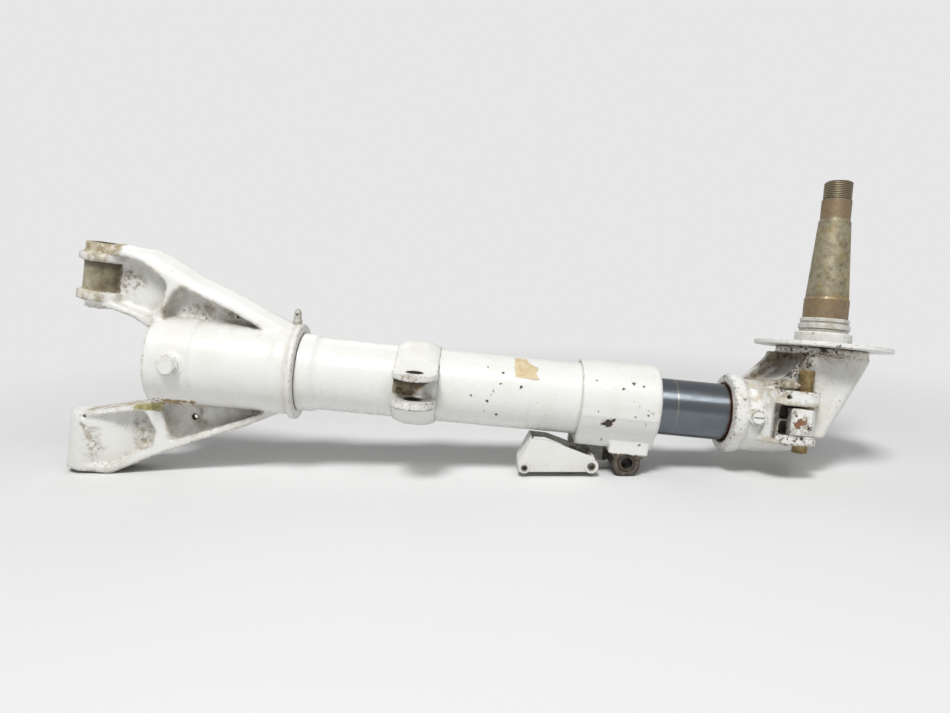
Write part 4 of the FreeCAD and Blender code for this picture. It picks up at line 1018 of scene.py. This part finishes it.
class STRUT_OT_valve_ribs(bpy.types.Operator):
    """Set the finger ribs round the filler valve's cap"""
    bl_idname = "strut.valve_ribs"
    bl_label = "Valve Cap Ribs"

    def execute(self, context):
        s = context.scene.strut_shapes
        material = bpy.data.materials["valve_cap"]
        matrix = basis(place(61.5, 0.0, 12.5), ALONG, OUT)
        values = {"Count": s.knurl_ribs, "Radius": 5.3 * MM, "Width": 0.28 * MM, "Height": 6.4 * MM,
                  "Material": material}
        mesh = grow(rib_tree(), values, matrix)
        add_piece("valve_cap_ribs", mesh, material, body_of_node("filler_valve_cap"),
                  SLOTS["filler_valve_cap"])
        return {"FINISHED"}


LABEL_RADIUS = 32.5
LABEL_OUTLINE = ((373.5, 79.0), (383.5, 79.0), (386.0, 66.0), (394.0, 53.0), (392.0, 45.0), (396.0, 33.0),
                 (374.5, 34.0), (373.0, 56.0))
LABEL_CELL = 0.5


def inside_outline(x, angle, outline):
    hit = False
    for (xa, ya), (xb, yb) in zip(outline, outline[1:] + outline[:1]):
        if (ya > angle) != (yb > angle) and x < (xb - xa) * (angle - ya) / (yb - ya) + xa:
            hit = not hit
    return hit


class STRUT_OT_label_remnant(bpy.types.Operator):
    """Lay the torn remnant of a blank tan label on the barrel"""
    bl_idname = "strut.label_remnant"
    bl_label = "Label Remnant"

    def execute(self, context):
        s = context.scene.strut_shapes
        f = Finish("label_paper")
        cloud = f.noise(160.0, 4.0, 0.65)
        tone = f.mix(f.step(cloud, 0.4, 0.62), (0.60, 0.47, 0.27), (0.68, 0.58, 0.38))
        tone = f.mix(f.step(f.noise(420.0, 3.0, 0.6), 0.60, 0.66, 0.0, 0.7), tone, (0.36, 0.25, 0.13))
        f.set("Base Color", tone)
        f.set("Roughness", f.step(cloud, 0.3, 0.7, 0.55, 0.75))
        f.set("Normal", f.bump(f.noise(900.0, 3.0, 0.6), 0.00004))
        bm = bmesh.new()
        corners = {}

        def corner(i, j):
            if (i, j) not in corners:
                x = 370.0 + i * LABEL_CELL
                angle = math.radians(25.0) + j * LABEL_CELL / LABEL_RADIUS
                radius = LABEL_RADIUS + 0.02
                spot = place(x, -radius * math.cos(angle), radius * math.sin(angle))
                corners[(i, j)] = bm.verts.new(spot)
            return corners[(i, j)]

        for i in range(60):
            for j in range(70):
                x = 370.0 + (i + 0.5) * LABEL_CELL
                angle = 25.0 + math.degrees((j + 0.5) * LABEL_CELL / LABEL_RADIUS)
                tear = 1.1 * noise.noise(Vector((x * 0.9, angle * 0.5, 0.3)))
                if inside_outline(x + tear, angle + 2.0 * tear, LABEL_OUTLINE):
                    bm.faces.new((corner(i, j), corner(i + 1, j), corner(i + 1, j + 1), corner(i, j + 1)))
        bmesh.ops.recalc_face_normals(bm, faces=bm.faces)
        mesh = bpy.data.meshes.new("label_remnant")
        bm.to_mesh(mesh)
        bm.free()
        blank = bpy.data.objects.new("label_blank", mesh)
        context.scene.collection.objects.link(blank)
        wall = blank.modifiers.new("wall", "SOLIDIFY")
        wall.thickness = s.label_skin
        wall.offset = 0.0
        mesh = evaluated_mesh(blank)
        add_piece("label_remnant", mesh, f.material, body_of_node("barrel_tube"), SLOTS["barrel_tube"])
        return {"FINISHED"}


CAMERA_OFFSET = Vector((0.339320, -0.657511, 0.093020))
CAMERA_PITCH = math.radians(8.4171)


class STRUT_OT_stage(bpy.types.Operator):
    """Set the camera, the soft lights and the pale floor"""
    bl_idname = "strut.stage"
    bl_label = "Stage"

    def lamp(self, context, name, spot, aim, size, power):
        light = bpy.data.lights.new(name, "AREA")
        light.shape = "DISK"
        light.size = size
        light.energy = power
        obj = bpy.data.objects.new(name, light)
        obj.location = spot
        obj.rotation_euler = (Vector(aim) - Vector(spot)).to_track_quat("-Z", "Y").to_euler()
        context.scene.collection.objects.link(obj)

    def execute(self, context):
        scene = context.scene
        s = scene.strut_stage
        camera = bpy.data.cameras.new("camera")
        camera.lens = s.lens
        camera.sensor_width = 36.0
        camera.clip_start = 0.01
        eye = bpy.data.objects.new("camera", camera)
        eye.location = ORIGIN + CAMERA_OFFSET
        eye.rotation_euler = (math.pi / 2 - CAMERA_PITCH, 0.0, 0.0)
        scene.collection.objects.link(eye)
        scene.camera = eye
        self.lamp(context, "key", (-0.30, -1.30, 2.15), (0.0, 0.0, 0.08), 0.7, s.key)
        self.lamp(context, "fill", (0.75, -1.0, 1.6), (0.2, 0.0, 0.1), 0.8, s.fill)
        self.lamp(context, "back", (-0.4, 1.2, 1.2), (0.0, 0.0, 0.1), 1.0, 0.5 * s.fill)
        f = Finish("floor")
        f.set("Roughness", 0.9)
        far = f.step(f.vector("LENGTH", f.coords), 0.35, 0.95)
        f.set("Base Color", f.mix(far, tuple(s.floor), (0.80, 0.80, 0.80)))
        path = f.tree.nodes.new("ShaderNodeLightPath")
        glow = f.tree.nodes.new("ShaderNodeEmission")
        glow.inputs["Color"].default_value = (0.80, 0.80, 0.80, 1.0)
        blend = f.tree.nodes.new("ShaderNodeMixShader")
        seen = f.either(path.outputs["Is Camera Ray"], path.outputs["Is Glossy Ray"])
        f.feed(blend.inputs[0], f.times(far, seen))
        f.tree.links.new(f.shader.outputs[0], blend.inputs[1])
        f.tree.links.new(glow.outputs[0], blend.inputs[2])
        f.tree.links.new(blend.outputs[0], f.output.inputs[0])
        bm = bmesh.new()
        bmesh.ops.create_circle(bm, cap_ends=True, segments=96, radius=30.0)
        mesh = bpy.data.meshes.new("floor")
        bm.to_mesh(mesh)
        bm.free()
        mesh.materials.append(f.material)
        floor = bpy.data.objects.new("floor", mesh)
        floor.location = (0.0, 0.0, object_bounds()[0].z - 0.0002)
        scene.collection.objects.link(floor)
        floor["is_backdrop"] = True
        world = bpy.data.worlds.new("studio")
        scene.world = world
        world.use_nodes = True
        tree = world.node_tree
        tree.nodes.clear()
        out = tree.nodes.new("ShaderNodeOutputWorld")
        even = tree.nodes.new("ShaderNodeBackground")
        even.inputs["Color"].default_value = (1.0, 1.0, 1.0, 1.0)
        shown = tree.nodes.new("ShaderNodeBackground")
        shown.inputs["Color"].default_value = (0.80, 0.80, 0.80, 1.0)
        path = tree.nodes.new("ShaderNodeLightPath")
        lift = tree.nodes.new("ShaderNodeMath")
        lift.operation = "MULTIPLY_ADD"
        lift.inputs[1].default_value = s.gloss_sky - s.sky
        lift.inputs[2].default_value = s.sky
        tree.links.new(path.outputs["Is Glossy Ray"], lift.inputs[0])
        tree.links.new(lift.outputs[0], even.inputs["Strength"])
        blend = tree.nodes.new("ShaderNodeMixShader")
        tree.links.new(path.outputs["Is Camera Ray"], blend.inputs[0])
        tree.links.new(even.outputs[0], blend.inputs[1])
        tree.links.new(shown.outputs[0], blend.inputs[2])
        tree.links.new(blend.outputs[0], out.inputs[0])
        scene.view_settings.view_transform = "Standard"
        return {"FINISHED"}


class STRUT_PT_panel(bpy.types.Panel):
    """Operators and sizes of the strut"""
    bl_idname = "STRUT_PT_panel"
    bl_label = "Landing Gear Strut"
    bl_space_type = "VIEW_3D"
    bl_region_type = "UI"
    bl_category = "Strut"

    def draw(self, context):
        scene = context.scene
        for operator in OPERATORS:
            self.layout.operator(operator.bl_idname)
        for group in (scene.strut_paint, scene.strut_metal, scene.strut_shapes, scene.strut_stage):
            column = self.layout.column()
            for name in group.__annotations__:
                column.prop(group, name)


GROUPS = {"strut_paint": StrutPaint, "strut_metal": StrutMetal, "strut_shapes": StrutShapes,
          "strut_stage": StrutStage}
OPERATORS = (STRUT_OT_cast_skins, STRUT_OT_painted_parts, STRUT_OT_metal_parts, STRUT_OT_seals,
             STRUT_OT_axle_thread, STRUT_OT_valve_ribs, STRUT_OT_label_remnant, STRUT_OT_stage)


def register():
    for name, group in GROUPS.items():
        bpy.utils.register_class(group)
        setattr(bpy.types.Scene, name, PointerProperty(type=group))
    for item in (*OPERATORS, STRUT_PT_panel):
        bpy.utils.register_class(item)


def unregister():
    for item in reversed((*OPERATORS, STRUT_PT_panel)):
        bpy.utils.unregister_class(item)
    for name, group in GROUPS.items():
        delattr(bpy.types.Scene, name)
        bpy.utils.unregister_class(group)


def main():
    register()
    for operator in OPERATORS:
        section, name = operator.bl_idname.split(".")
        getattr(getattr(bpy.ops, section), name)()


if __name__ == "__main__":
    main()
